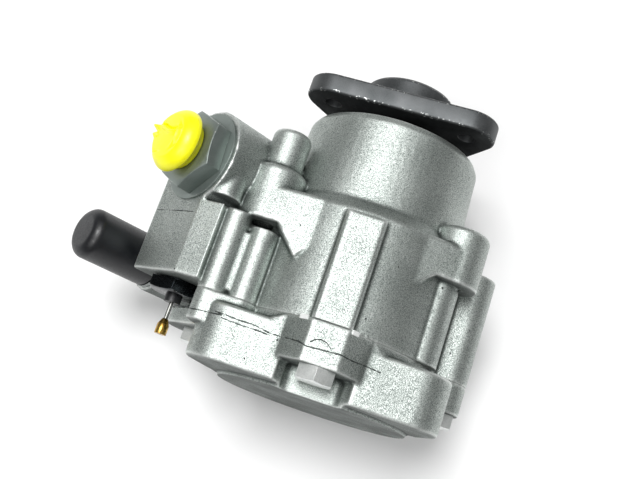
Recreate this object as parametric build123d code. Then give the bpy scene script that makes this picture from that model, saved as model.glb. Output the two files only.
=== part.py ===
from build123d import *
import os
from math import cos, radians, sin, sqrt

# Power steering pump of the vane type, in millimetres. The shaft runs along Y with its drive end at +Y.
# The origin is on the shaft axis in the rear pad face, and Z points up as the pump lies on its side.
# Places in the cross-section are given as (X, Z).

# Fits and clearances
RUNNING_FIT = 0.03
SLIP_FIT = 0.05
SEAT_GAP = 0.05
PASS_GAP = 1.0

# Stations along the shaft, counted from the rear pad
PAD_HEIGHT = 1.3
COVER_BOX_TOP = 22.4
JOINT_FACE = 25.6
EAR_REAR = 57.0
WEB_FRONT = 71.0
EAR_FRONT = 79.0
LEFT_EAR_FRONT = 95.0
SHOULDER_TOP = 69.5
NOSE_FOOT = 74.5
NOSE_FRONT = 110.4
NOSE_CHAMFER = 2.6
FLANGE_REAR = 117.4
FLANGE_THICKNESS = 8.2
PILOT_HEIGHT = 10.0

# Housing
BARREL_RADIUS = 42.0
NOSE_FOOT_RADIUS = 37.0
NOSE_RIM_RADIUS = 35.6
NOSE_FACE_RADIUS = 34.0
SHOULDER_ROUND = 2.5
CHAMBER_RADIUS = 33.0
SHAFT_BORE_RADIUS = 11.0
REST_DEPTH = 54.0
CAST_ROUND = 1.5

# Rear cover
COVER_LEFT = -49.0
COVER_RIGHT = 46.5
COVER_TOP = 38.5
COVER_CORNER = 13.0
COVER_ROUND_RADIUS = 40.0
PAD_RADIUS = 38.0
LUG_WIDTH = 13.4
LUG_SLOPE = 9.0
LUG_SHOULDER = 15.0
LUG_FACE = 47.8
POCKET_DEPTH = 6.2
POCKET_SIDE = 3.4
POCKET_ROUND = 3.0
POCKET_FLARE = 2.6
LEFT_LUG_TIP = (-53.5, -5.0)
LEFT_LUG_TIP_RADIUS = 11.0
LEFT_LUG_HIGH_ROOT = (-37.0, 16.0)
LEFT_LUG_HIGH_RADIUS = 12.0
LEFT_LUG_LOW_ROOT = (-37.0, -18.0)
LEFT_LUG_LOW_RADIUS = 10.0
LOWER_LUG_ROOT = (2.0, -26.0)
LOWER_LUG_ROOT_RADIUS = 15.0

# Cover screws, size M8
SCREW_RADIUS = 4.0
SCREW_HOLE_RADIUS = 4.4
HEAD_ACROSS = 13.0
HEAD_HEIGHT = 5.3
FRONT_SCREW = (-1.7, 41.0)
LEFT_SCREW = (-49.5, 0.0)
RIGHT_SCREW = (46.8, 0.0)
FRONT_SEAT = 10.0
SIDE_SEAT = 13.6
LOWER_LUG_RADIUS = 11.5
LOWER_SCREW = (4.0, LOWER_LUG_RADIUS - REST_DEPTH)
LEFT_LUG_FRONT = 21.0
SCREW_REACH = 14.0
HOLE_SPARE = 3.0
COLUMN_WALL = 4.6

# Front rib
RIB_WIDTH = 15.2
RIB_FRONT = 67.2
RIB_FACE = 48.2
RIB_ROUND = 2.0

# Mounting ears, for M8 screws
EAR_RADIUS = 10.8
EAR_BORE_RADIUS = 4.5
LEFT_EAR = (-38.6, 23.8)
RIGHT_EAR = (35.2, 21.6)
LOWER_EAR = (7.0, EAR_RADIUS - REST_DEPTH)
EAR_ROUND = 2.5
WEB_INSET = 0.3
WEB_ROUND = 2.0
LEFT_WEB_ROOT = (-16.0, 28.0)
LEFT_WEB_RADIUS = 10.0
RIGHT_WEB_ROOT = (14.0, 25.5)
RIGHT_WEB_RADIUS = 12.2
LOWER_WEB_ROOT = (5.0, -28.0)
LOWER_WEB_RADIUS = 13.0
GUSSET_TIP = 46.0
LEFT_GUSSET = (-32.5, -22.9, -15.0)
RIGHT_GUSSET = (28.5, 16.5, 2.0)
LEFT_NECK_RADIUS = 7.6

# Drive flange
PILOT_RADIUS = 19.0
HUB_RADIUS = 13.0
HUB_REAR = 109.4
LOBE_CIRCLE = 32.0
LOBE_RADIUS = 11.2
LOBE_COUNT = 3
FLANGE_TURN = 37.5
FLANGE_THREAD_RADIUS = 3.4
FLANGE_EDGE = 0.8
PILOT_RECESS_RADIUS = 12.5
PILOT_RECESS_DEPTH = 4.0

# Shaft
SHAFT_RADIUS = 8.5
SHAFT_BODY_RADIUS = 10.0
SHAFT_TAIL_RADIUS = 7.5
SHAFT_REAR = 10.5
SHAFT_SETBACK = 0.6
SHAFT_CHAMFER = 1.0
SPLINE_START = 26.6
SPLINE_ROOT_RADIUS = 7.9
SPLINE_TIP_RADIUS = 8.8
SPLINE_TEETH = 12
SPLINE_TOOTH = 2.2

# Bearing, 17 x 40 x 12
BEARING_REAR = 86.6
BEARING_WIDTH = 12.0
BEARING_RADIUS = 20.0
BALL_RADIUS = 3.3
BALL_COUNT = 8
RING_WALL = 3.2
CAGE_WIDTH = 8.4
CAGE_WALL = 1.4

# Snap ring and shaft seal
SNAP_RING_THICKNESS = 1.5
SNAP_GROOVE_DEPTH = 1.4
SNAP_RING_WIDTH = 3.0
SNAP_RING_GAP = 7.0
SEAL_REAR = 101.2
SEAL_WIDTH = 7.0
SEAL_WALL = 1.5
SEAL_LIP = [(1.2, 7.0), (0.2, 5.6), (0.0, 4.4), (1.4, 1.0), (2.4, 1.0), (1.9, 3.4), (2.6, 5.5)]
GARTER_RADIUS = 0.6

# Pump element
REAR_PLATE_THICKNESS = 5.0
CAM_WIDTH = 20.0
FRONT_PLATE_THICKNESS = 7.0
SPRING_SPACE = 2.0
SPRING_THICKNESS = 1.0
SPRING_INNER_RADIUS = 15.0
SPRING_OUTER_RADIUS = 24.0
CAM_LONG_RADIUS = 27.6
CAM_SHORT_RADIUS = 24.6
ROTOR_RADIUS = 24.1
VANE_COUNT = 10
VANE_THICKNESS = 1.8
VANE_HEIGHT = 7.6
SLOT_ROOT = 15.2
SLOT_BULB = 1.6
DOWEL_RADIUS = 2.0
DOWEL_CIRCLE = 28.9
PORT_CIRCLE = 23.6
PORT_WIDTH = 4.2
PORT_ANGLE = 48.0
ROTOR_RING_THICKNESS = 1.2
ROTOR_RING_RADIUS = 10.2
ROTOR_RING_GROOVE = 0.9

# Seal rings
COVER_SEAL_CIRCLE = 34.5
COVER_SEAL_SECTION = 0.85
PLATE_SEAL_SECTION = 0.8

# Rear bush
BUSH_WALL = 2.0
BUSH_REAR = 10.0
BUSH_LENGTH = 14.5

# Outlet union and flow valve, on an axis square to the shaft
UNION_TURN = 136.0
UNION_STATION = 74.5
UNION_OFFSET = 28.6
BOSS_RADIUS = 19.5
BOSS_FACE = 67.7
BOSS_INNER = -3.0
UNION_WASHER_RADIUS = 18.0
UNION_WASHER_THICKNESS = 0.8
UNION_HEX_ACROSS = 28.0
UNION_HEX_HEIGHT = 7.1
UNION_HEX_TURN = 5.6
UNION_SHANK_RADIUS = 11.0
UNION_SHANK_LENGTH = 15.5
UNION_PORT_RADIUS = 7.0
UNION_PORT_DEPTH = 13.0
UNION_THROAT_RADIUS = 4.0
VALVE_BORE_RADIUS = 9.0
VALVE_BORE_FLOOR = 7.0
SPOOL_LENGTH = 34.0
SPOOL_LAND = 10.0
SPOOL_GROOVE_RADIUS = 6.4
SPOOL_NOSE_RADIUS = 5.0
SPOOL_NOSE_LENGTH = 2.0
SPOOL_CAVITY_RADIUS = 3.6
SPOOL_CAVITY_DEPTH = 22.0
RELIEF_SEAT_LENGTH = 6.0
RELIEF_SEAT_BORE = 1.3
RELIEF_BALL_RADIUS = 2.2
VALVE_SPRING_RADIUS = 6.4
VALVE_SPRING_WIRE = 0.65
VALVE_SPRING_TURNS = 4
RELIEF_SPRING_RADIUS = 1.7
RELIEF_SPRING_WIRE = 0.4
RELIEF_SPRING_TURNS = 5

# Outlet transport plug
PLUG_HEAD_RADIUS = 12.5
PLUG_HEAD_THICKNESS = 2.6
PLUG_NECK_RADIUS = 9.5
PLUG_NECK_LENGTH = 3.6
PLUG_STEM_LENGTH = 10.0
PLUG_CROWN_RADIUS = 9.4
PLUG_CROWN_HEIGHT = 4.8
PLUG_CROWN_ROUND = 1.6
PLUG_NOTCH_RADIUS = 1.3
PLUG_NOTCH_COUNT = 6

# Valve block beside the barrel
BLOCK_REAR = 27.6
BLOCK_FRONT = 57.0
BLOCK_LOW_SIDE = 47.6
BLOCK_MIDDLE_SIDE = 30.0
BLOCK_HIGH_SIDE = 20.0
BLOCK_DEPTH = 24.0
BLOCK_TOP = 36.0
BLOCK_ROOT = (-30.0, -4.0)
BLOCK_SIDE_ROOT = (-40.0, 0.0)
FIN_RADIUS = 5.3
FIN_PLACE = (-47.4, 29.8)
LEFT_COLUMN = (-36.0, 29.6)
LEFT_COLUMN_FRONT = 53.2
VALLEY_RADIUS = 3.2
VALLEY_ROOT = (-33.0, 17.0)
VALLEY_ROOT_RADIUS = 4.0
COLUMN_ROOT = (-30.0, 20.0)
RIGHT_COLUMN = (31.5, 20.5)
RIGHT_COLUMN_RADIUS = 8.3
RIGHT_COLUMN_FRONT = 56.0
NUB_RADIUS = 6.0
NUB_PLACE = (-54.6, 31.0)
NUB_REAR = 60.0
NUB_FRONT = 74.5

# Suction side
PIPE_TURN = 137.0
PIPE_STATION = 35.7
PIPE_OFFSET = 63.9
CAP_END = 84.6
CAP_WALL = 1.3
CAP_ROUND = 2.4
CAP_LENGTH = 32.5
PIPE_RADIUS = 9.0
PIPE_WALL = 1.5
PIPE_SEAT = 34.0
BEAD_HEIGHT = 1.5
BEAD_WIDTH = 1.8
SUCTION_BOSS_RADIUS = 11.6
SUCTION_BOSS_FACE = 50.0
SUCTION_BOSS_FOOT = 6.0
SUCTION_PASSAGE_RADIUS = 6.0
SUCTION_PASSAGE_END = 14.0
GALLERY_FRONT = 46.5
GALLERY_OUTLINE = [(-36.0, -8.0), (-63.0, -2.0), (-66.0, -14.0), (-64.0, -34.0), (-57.0, -REST_DEPTH),
                   (-43.0, -REST_DEPTH), (-20.0, -34.0)]
PRESSURE_PASSAGE_RADIUS = 2.6

# Pressure switch
SWITCH_PLACE = (-62.2, 14.0)
SWITCH_HEX_ACROSS = 19.0
SWITCH_HEX_HEIGHT = 4.6
SWITCH_SHANK_RADIUS = 5.0
SWITCH_SHANK_LENGTH = 9.0
SWITCH_WASHER_RADIUS = 8.2
SWITCH_WASHER_THICKNESS = 0.8
INSULATOR_RADIUS = 3.2
INSULATOR_LENGTH = 3.0
STUD_RADIUS = 0.8
STUD_LENGTH = 12.6
TERMINAL_RADIUS = 2.3
TERMINAL_LENGTH = 6.2

# Stations and radii worked out from the sizes above
CAM_REAR = JOINT_FACE + REAR_PLATE_THICKNESS
CAM_FRONT = CAM_REAR + CAM_WIDTH
PLATE_FRONT = CAM_FRONT + FRONT_PLATE_THICKNESS
CHAMBER_FLOOR = PLATE_FRONT + SPRING_SPACE
FLANGE_FRONT = FLANGE_REAR + FLANGE_THICKNESS
PILOT_TOP = FLANGE_FRONT + PILOT_HEIGHT
SHAFT_FRONT = PILOT_TOP - PILOT_RECESS_DEPTH - SHAFT_SETBACK
BEARING_FRONT = BEARING_REAR + BEARING_WIDTH
BALL_CIRCLE = (SHAFT_RADIUS + BEARING_RADIUS) / 2
UNION_HEX_BASE = BOSS_FACE + UNION_WASHER_THICKNESS
UNION_FRONT = UNION_HEX_BASE + UNION_HEX_HEIGHT
UNION_INNER = BOSS_FACE - UNION_SHANK_LENGTH
SPOOL_FRONT = UNION_INNER - SEAT_GAP
SPOOL_BACK = SPOOL_FRONT - SPOOL_LENGTH
RELIEF_SEAT_FRONT = SPOOL_BACK + RELIEF_SEAT_LENGTH
RELIEF_BALL_REACH = RELIEF_SEAT_FRONT + sqrt(RELIEF_BALL_RADIUS**2 - RELIEF_SEAT_BORE**2) + SEAT_GAP
CAP_MOUTH = CAP_END - CAP_LENGTH
SWITCH_HEX_FRONT = BLOCK_REAR - SWITCH_WASHER_THICKNESS
SWITCH_HEX_REAR = SWITCH_HEX_FRONT - SWITCH_HEX_HEIGHT
INSULATOR_REAR = SWITCH_HEX_REAR - INSULATOR_LENGTH


# A solid along the shaft, from an outline in the cross-section
def prism(outline, rear, front):
    return extrude(Plane.XZ.offset(-rear) * outline, amount=front - rear, dir=(0, 1, 0))


# A round solid along the shaft at one place in the cross-section
def rod(place, radius, rear, front):
    return prism(Pos(*place) * Circle(radius), rear, front)


# A solid of revolution about the shaft, from points of radius and station
def turned(*points):
    return revolve(make_face(Polyline(*points, close=True)), Axis.Y)


# A plane square to a side axis: its Z runs outwards and its X runs along the shaft
def side_plane(turn, offset, station, reach):
    outward = Vector(cos(radians(turn)), 0, sin(radians(turn)))
    across = Vector(-sin(radians(turn)), 0, cos(radians(turn)))
    origin = outward * reach + across * offset + Vector(0, station, 0)
    return Plane(origin=origin, x_dir=(0, 1, 0), z_dir=outward)


def union_plane(reach):
    return side_plane(UNION_TURN, UNION_OFFSET, UNION_STATION, reach)


def pipe_plane(reach):
    return side_plane(PIPE_TURN, PIPE_OFFSET, PIPE_STATION, reach)


# A round solid on a side axis, between two reaches from the shaft
def side_rod(plane_at, radius, inner, outer):
    return extrude(plane_at(inner) * Circle(radius), amount=outer - inner)


# A solid turned about a side axis, from points of radius and reach
def side_turned(plane_at, *points):
    frame = plane_at(0)
    profile = Plane(origin=frame.origin, x_dir=frame.x_dir, z_dir=-frame.y_dir)
    return revolve(profile * make_face(Polyline(*points, close=True)), Axis(frame.origin, frame.z_dir))


# A coil spring on a side axis
def side_spring(plane_at, radius, wire, turns, inner, outer):
    pitch = (outer - inner - 2 * wire) / turns
    path = Helix(pitch, pitch * turns, radius)
    section = Plane(origin=path @ 0, z_dir=path % 0) * Circle(wire)
    return plane_at(inner + wire).location * sweep(section, path=path, is_frenet=True)


# A ring of round section about the shaft
def shaft_torus(circle, section, station):
    return Pos(0, station, 0) * Rot(X=90) * Torus(circle, section)


# The outline that wraps round a row of circles, each given as a place and a radius
def wrapped(*circles):
    outline = [Pos(*place) * Circle(radius) for place, radius in circles]
    return make_hull([circle.edge() for circle in outline])


# A hexagon head with its corners turned off on one end
def hex_head(across, height, chamfer):
    corner = across / sqrt(3)
    blank = extrude(RegularPolygon(across / 2, 6, major_radius=False), amount=height)
    lathe = Polyline((0, 0), (corner + 1, 0), (corner + 1, height - chamfer * 0.58),
                     (across / 2 - 0.3, height), (0, height), close=True)
    return blank & revolve(Plane.XZ * make_face(lathe), Axis.Z)


def write(node, *solids):
    shape = solids[0] if len(solids) == 1 else Compound(children=list(solids))
    shape.label = node
    export_step(shape, f"parts/{node}.step")


# The turned outside of the housing: barrel, rounded shoulder, drafted nose and chamfered rim
def barrel_and_nose():
    profile = make_face(Polyline(
        (0, JOINT_FACE), (BARREL_RADIUS, JOINT_FACE), (BARREL_RADIUS, SHOULDER_TOP),
        (NOSE_FOOT_RADIUS, NOSE_FOOT), (NOSE_RIM_RADIUS, NOSE_FRONT - NOSE_CHAMFER),
        (NOSE_FACE_RADIUS, NOSE_FRONT), (0, NOSE_FRONT), close=True))
    bends = [(BARREL_RADIUS, SHOULDER_TOP, 0), (NOSE_FOOT_RADIUS, NOSE_FOOT, 0)]
    corners = [profile.vertices().sort_by_distance(bend)[0] for bend in bends]
    return revolve(fillet(corners, SHOULDER_ROUND), Axis.Y)


# The raised rib in front of the barrel that takes the front cover screw
def front_rib():
    foot = CHAMBER_RADIUS + PLATE_SEAL_SECTION
    outline = Pos(FRONT_SCREW[0], (foot + RIB_FACE) / 2) * Rectangle(RIB_WIDTH, RIB_FACE - foot)
    rib = prism(outline, JOINT_FACE, RIB_FRONT)
    face_edges = rib.edges().group_by(Axis.Z)[-1].filter_by(lambda edge: edge.center().Y > JOINT_FACE + 1)
    return fillet(face_edges, RIB_ROUND)


# The columns that take the other cover screws, each tied to the barrel
def screw_columns():
    outer = SCREW_RADIUS + COLUMN_WALL
    right = wrapped((RIGHT_SCREW, outer), ((RIGHT_SCREW[0] - outer, 0), outer))
    left = wrapped((LEFT_SCREW, outer), ((LEFT_SCREW[0] + outer, 0), outer))
    lower = wrapped((LOWER_SCREW, outer), ((LOWER_SCREW[0], LOWER_SCREW[1] + outer), outer))
    columns = prism(right, JOINT_FACE, SHOULDER_TOP) + prism(left, JOINT_FACE, EAR_REAR)
    return columns + prism(lower, JOINT_FACE, EAR_REAR + CAST_ROUND)


# A mounting ear: its boss and the web that ties it to the barrel
def mounting_ear(place, root, root_radius):
    boss = rod(place, EAR_RADIUS, EAR_REAR, EAR_FRONT)
    boss = fillet(boss.edges().filter_by(GeomType.CIRCLE).group_by(Axis.Y)[-1], EAR_ROUND)
    web = prism(wrapped((place, EAR_RADIUS - WEB_INSET), (root, root_radius)), EAR_REAR, WEB_FRONT)
    return boss + fillet(web.edges().group_by(Axis.Y)[-1], WEB_ROUND)


# The sloping gusset behind a web, from the ear to its tip on the barrel
def gusset(place, root, root_radius, reaches):
    outline = wrapped((place, EAR_RADIUS - WEB_INSET), (root, root_radius))
    outer, tip, inner = reaches
    side = Polygon((outer, EAR_REAR), (tip, GUSSET_TIP), (inner, EAR_REAR), align=None)
    return prism(outline, JOINT_FACE, EAR_REAR) & extrude(Plane.XY * side, amount=REST_DEPTH, dir=(0, 0, 1))


def mounting_ears():
    left = mounting_ear(LEFT_EAR, LEFT_WEB_ROOT, LEFT_WEB_RADIUS)
    left += gusset(LEFT_EAR, LEFT_WEB_ROOT, LEFT_WEB_RADIUS, LEFT_GUSSET)
    right = mounting_ear(RIGHT_EAR, RIGHT_WEB_ROOT, RIGHT_WEB_RADIUS)
    right += gusset(RIGHT_EAR, RIGHT_WEB_ROOT, RIGHT_WEB_RADIUS, RIGHT_GUSSET)
    lower = mounting_ear(LOWER_EAR, LOWER_WEB_ROOT, LOWER_WEB_RADIUS)
    neck = rod(LEFT_EAR, LEFT_NECK_RADIUS, EAR_REAR, LEFT_EAR_FRONT)
    neck = fillet(neck.edges().filter_by(GeomType.CIRCLE).group_by(Axis.Y)[-1], EAR_ROUND)
    return left + right + lower + neck


# A point of the block's sloping outer face, which lies in the plane of the outlet boss
def block_point(side, depth=0):
    point = side_plane(UNION_TURN, side, 0, BOSS_FACE - depth).origin
    return (point.X, point.Z)


# The block at the left with its sloping outer face, its fin and the columns beside it
def valve_block():
    low, high, middle = block_point(BLOCK_LOW_SIDE), block_point(BLOCK_HIGH_SIDE), block_point(BLOCK_MIDDLE_SIDE)
    low_inner = block_point(BLOCK_LOW_SIDE, BLOCK_DEPTH)
    outline = Polygon(low, high, (FIN_PLACE[0] - FIN_RADIUS, BLOCK_TOP), (FIN_PLACE[0] - FIN_RADIUS, FIN_PLACE[1] - 2),
                      COLUMN_ROOT, BLOCK_ROOT, low_inner, align=None)
    block = prism(fillet(outline.vertices().sort_by(Axis.X)[:2], CAST_ROUND), BLOCK_REAR, BLOCK_FRONT)
    side = Polygon(low, middle, BLOCK_SIDE_ROOT, low_inner, align=None)
    block += prism(fillet(side.vertices().sort_by(Axis.X)[:1], CAST_ROUND), BLOCK_FRONT - 1, UNION_STATION)
    block += rod(FIN_PLACE, FIN_RADIUS, JOINT_FACE, BLOCK_FRONT)
    block += rod(LEFT_COLUMN, FIN_RADIUS, JOINT_FACE, LEFT_COLUMN_FRONT)
    valley = wrapped((FIN_PLACE, VALLEY_RADIUS), (LEFT_COLUMN, VALLEY_RADIUS), (VALLEY_ROOT, VALLEY_ROOT_RADIUS))
    block += prism(valley, BLOCK_REAR, LEFT_COLUMN_FRONT - 2 * CAST_ROUND)
    return block


# The boss of the outlet union, with the cast nub on its flank
def union_boss():
    nub = rod(NUB_PLACE, NUB_RADIUS, NUB_REAR, NUB_FRONT)
    nub = fillet(nub.edges().filter_by(GeomType.CIRCLE).group_by(Axis.Y)[-1], EAR_ROUND)
    return side_rod(union_plane, BOSS_RADIUS, BOSS_INNER, BOSS_FACE) + nub


# The suction gallery under the block, with the boss that holds the suction pipe
def suction_gallery():
    outline = Polygon(*GALLERY_OUTLINE, align=None)
    outline = fillet(outline.vertices().sort_by(Axis.X)[:4], 2 * CAST_ROUND)
    gallery = prism(outline, BLOCK_REAR, GALLERY_FRONT)
    return gallery + side_rod(pipe_plane, SUCTION_BOSS_RADIUS, SUCTION_BOSS_FOOT, SUCTION_BOSS_FACE)


# Everything bored or drilled in the housing
def housing_bores():
    groove_radius = BEARING_RADIUS + SNAP_GROOVE_DEPTH
    groove_front = BEARING_FRONT + SNAP_RING_THICKNESS + SEAT_GAP
    bores = turned(
        (0, JOINT_FACE - 1), (CHAMBER_RADIUS, JOINT_FACE - 1), (CHAMBER_RADIUS, CHAMBER_FLOOR),
        (SHAFT_BORE_RADIUS, CHAMBER_FLOOR), (SHAFT_BORE_RADIUS, BEARING_REAR),
        (BEARING_RADIUS, BEARING_REAR), (BEARING_RADIUS, BEARING_FRONT), (groove_radius, BEARING_FRONT),
        (groove_radius, groove_front), (BEARING_RADIUS, groove_front), (BEARING_RADIUS, NOSE_FRONT - 1),
        (BEARING_RADIUS + 1, NOSE_FRONT), (BEARING_RADIUS + 1, NOSE_FRONT + 1), (0, NOSE_FRONT + 1))
    for place in (FRONT_SCREW, LEFT_SCREW, RIGHT_SCREW, LOWER_SCREW):
        bores += rod(place, SCREW_RADIUS + SLIP_FIT, JOINT_FACE - 1, JOINT_FACE + SCREW_REACH + HOLE_SPARE)
    for place in (LEFT_EAR, RIGHT_EAR, LOWER_EAR):
        bores += rod(place, EAR_BORE_RADIUS, EAR_REAR - 1, LEFT_EAR_FRONT + 1)
    bores += side_rod(union_plane, VALVE_BORE_RADIUS, VALVE_BORE_FLOOR, BOSS_FACE)
    bores += side_rod(union_plane, UNION_SHANK_RADIUS + SLIP_FIT, UNION_INNER - SEAT_GAP, BOSS_FACE + 1)
    bores += rod(SWITCH_PLACE, SWITCH_SHANK_RADIUS + SLIP_FIT, BLOCK_REAR - 1,
                 BLOCK_REAR + SWITCH_SHANK_LENGTH + PASS_GAP)
    bores += side_rod(pipe_plane, PIPE_RADIUS + SLIP_FIT, PIPE_SEAT, SUCTION_BOSS_FACE + 1)
    bores += side_rod(pipe_plane, SUCTION_PASSAGE_RADIUS, SUCTION_PASSAGE_END, PIPE_SEAT)
    return bores + suction_passage() + pressure_passage()


# The drilling from the suction gallery to the pump chamber
def suction_passage():
    start = pipe_plane(SUCTION_PASSAGE_END + SUCTION_PASSAGE_RADIUS).origin
    centre = Vector(0, PIPE_STATION, 0)
    inward = (centre - start).normalized()
    length = (centre - start).length - CHAMBER_RADIUS + PASS_GAP
    return extrude(Plane(origin=start, z_dir=inward) * Circle(SUCTION_PASSAGE_RADIUS * 0.85), amount=length)


# The drilling from the chamber floor to the spring end of the valve bore
def pressure_passage():
    mouth = union_plane(VALVE_BORE_FLOOR + PRESSURE_PASSAGE_RADIUS).origin
    return rod((mouth.X, mouth.Z), PRESSURE_PASSAGE_RADIUS, CHAMBER_FLOOR - 1, UNION_STATION - VALVE_BORE_RADIUS / 2)


# The die-cast front housing
def front_housing():
    body = barrel_and_nose() + front_rib() + screw_columns() + valve_block() + mounting_ears()
    body += rod(RIGHT_COLUMN, RIGHT_COLUMN_RADIUS, JOINT_FACE, RIGHT_COLUMN_FRONT)
    return body + suction_gallery() + union_boss() - housing_bores()


# The front lug of the cover, with sloping sides and shoulders up to the joint face
def front_lug():
    middle, half = FRONT_SCREW[0], LUG_WIDTH / 2
    foot, wide = half + LUG_SLOPE, half + LUG_SHOULDER
    section = Polygon(
        (middle - wide, COVER_TOP - POCKET_DEPTH), (middle - wide, COVER_TOP), (middle - foot, COVER_TOP + 1),
        (middle - half, LUG_FACE), (middle + half, LUG_FACE), (middle + foot, COVER_TOP + 1),
        (middle + wide, COVER_TOP), (middle + wide, COVER_TOP - POCKET_DEPTH), align=None)
    lug = prism(fillet(section.vertices().sort_by(Axis.Y)[-2:], CAST_ROUND), FRONT_SEAT, JOINT_FACE)
    shoulders = Polygon((middle - wide, 0), (middle - wide, COVER_BOX_TOP), (middle - foot, JOINT_FACE),
                        (middle + foot, JOINT_FACE), (middle + wide, COVER_BOX_TOP), (middle + wide, 0), align=None)
    return lug & extrude(Plane.XY * shoulders, amount=REST_DEPTH, dir=(0, 0, 1))


# The side and lower lugs of the cover
def outer_lugs():
    outer = SCREW_RADIUS + COLUMN_WALL
    left = wrapped((LEFT_LUG_TIP, LEFT_LUG_TIP_RADIUS), (LEFT_LUG_HIGH_ROOT, LEFT_LUG_HIGH_RADIUS),
                   (LEFT_LUG_LOW_ROOT, LEFT_LUG_LOW_RADIUS))
    right = wrapped((RIGHT_SCREW, outer), ((RIGHT_SCREW[0] - 2 * outer, 0), 1.4 * outer))
    lower = wrapped((LOWER_SCREW, LOWER_LUG_RADIUS), (LOWER_LUG_ROOT, LOWER_LUG_ROOT_RADIUS))
    return prism(left, SIDE_SEAT, LEFT_LUG_FRONT) + prism(right, SIDE_SEAT, JOINT_FACE) + prism(
        lower, SIDE_SEAT, JOINT_FACE)


# The foot of the cover that carries the fin and the left column down to the level of the left lug
def column_foot():
    outline = wrapped((FIN_PLACE, FIN_RADIUS), (LEFT_COLUMN, FIN_RADIUS), (LEFT_LUG_HIGH_ROOT, LEFT_LUG_HIGH_RADIUS))
    return prism(outline, SIDE_SEAT, JOINT_FACE)


# The outline of the pocket round the front screw's head: round at its foot and flared at its mouth
def front_pocket():
    side, floor = HEAD_ACROSS / sqrt(3) + POCKET_SIDE, COVER_TOP - POCKET_DEPTH
    pocket = Polygon((-side, floor), (side, floor), (side, COVER_TOP - POCKET_FLARE), (side + POCKET_FLARE, COVER_TOP),
                     (side + POCKET_FLARE, REST_DEPTH), (-side - POCKET_FLARE, REST_DEPTH),
                     (-side - POCKET_FLARE, COVER_TOP), (-side, COVER_TOP - POCKET_FLARE), align=None)
    return Pos(FRONT_SCREW[0], 0) * fillet(pocket.vertices().group_by(Axis.Y)[0], POCKET_ROUND)


# The die-cast rear cover with its four lugs, the round rear pad and the pocket of the front screw
def rear_cover():
    inset = COVER_TOP - COVER_CORNER
    outline = wrapped(((COVER_LEFT + COVER_CORNER, inset), COVER_CORNER),
                      ((COVER_RIGHT - COVER_CORNER, inset), COVER_CORNER), ((0, 0), COVER_ROUND_RADIUS))
    box = prism(outline, PAD_HEIGHT, COVER_BOX_TOP)
    box = fillet(box.edges().filter_by(Plane.XZ), CAST_ROUND)
    cover = box + rod((0, 0), BARREL_RADIUS, COVER_BOX_TOP - 2, JOINT_FACE) + front_lug() + outer_lugs()
    cover += column_foot()
    cover += rod(LEFT_SCREW, SCREW_RADIUS + COLUMN_WALL, LEFT_LUG_FRONT - 1, JOINT_FACE)

    for place in (LEFT_SCREW, RIGHT_SCREW, LOWER_SCREW):
        cover -= rod(place, HEAD_ACROSS / sqrt(3) + PASS_GAP, PAD_HEIGHT - 1, SIDE_SEAT)
    cover += rod((0, 0), PAD_RADIUS, 0, PAD_HEIGHT + 1)
    cover -= prism(front_pocket(), -1, FRONT_SEAT)

    for place in (FRONT_SCREW, LEFT_SCREW, RIGHT_SCREW, LOWER_SCREW):
        cover -= rod(place, SCREW_HOLE_RADIUS, PAD_HEIGHT + 2, JOINT_FACE + 1)
    cover -= rod((0, 0), SHAFT_TAIL_RADIUS + BUSH_WALL + SEAT_GAP, BUSH_REAR - SEAT_GAP, JOINT_FACE + 1)
    groove_half = COVER_SEAL_SECTION + SEAT_GAP
    return cover - turned(
        (COVER_SEAL_CIRCLE - groove_half, JOINT_FACE + 1), (COVER_SEAL_CIRCLE + groove_half, JOINT_FACE + 1),
        (COVER_SEAL_CIRCLE + groove_half, JOINT_FACE - 2 * groove_half),
        (COVER_SEAL_CIRCLE - groove_half, JOINT_FACE - 2 * groove_half))


# A hexagon cover screw with its head to the rear
def cover_screw(place, seat):
    head = Plane(origin=(place[0], seat, place[1]), x_dir=(0, 0, 1), z_dir=(0, -1, 0)).location * hex_head(
        HEAD_ACROSS, HEAD_HEIGHT, 1.2)
    return head + rod(place, SCREW_RADIUS, seat, JOINT_FACE + SCREW_REACH)


# The drive flange: three-lobed plate, pilot boss for the pulley and hub
def drive_flange():
    lobes = []
    for number in range(LOBE_COUNT):
        angle = radians(FLANGE_TURN + 360 / LOBE_COUNT * number)
        lobes.append((LOBE_CIRCLE * cos(angle), LOBE_CIRCLE * sin(angle)))
    plate = prism(wrapped(*[(place, LOBE_RADIUS) for place in lobes]), FLANGE_REAR, FLANGE_FRONT)
    plate = chamfer(plate.edges().filter_by(Plane.XZ), FLANGE_EDGE)
    flange = plate + turned(
        (0, HUB_REAR), (HUB_RADIUS - 1, HUB_REAR), (HUB_RADIUS, HUB_REAR + 1), (HUB_RADIUS, FLANGE_REAR + 1),
        (PILOT_RADIUS, FLANGE_REAR + 1), (PILOT_RADIUS, PILOT_TOP - 1.5), (PILOT_RADIUS - 1.5, PILOT_TOP),
        (PILOT_RECESS_RADIUS, PILOT_TOP), (PILOT_RECESS_RADIUS, PILOT_TOP - PILOT_RECESS_DEPTH),
        (0, PILOT_TOP - PILOT_RECESS_DEPTH))
    for place in lobes:
        flange -= rod(place, FLANGE_THREAD_RADIUS, FLANGE_REAR - 1, FLANGE_FRONT + 1)
    return flange - rod((0, 0), SHAFT_RADIUS + SLIP_FIT, HUB_REAR - 1, PILOT_TOP)


# The teeth of the spline, as bars about the shaft
def spline_teeth(width, tip, rear, front):
    bar = prism(Pos(tip / 2, 0) * Rectangle(tip, width), rear, front)
    return [Rot(Y=360 / SPLINE_TEETH * number) * bar for number in range(SPLINE_TEETH)]


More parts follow.
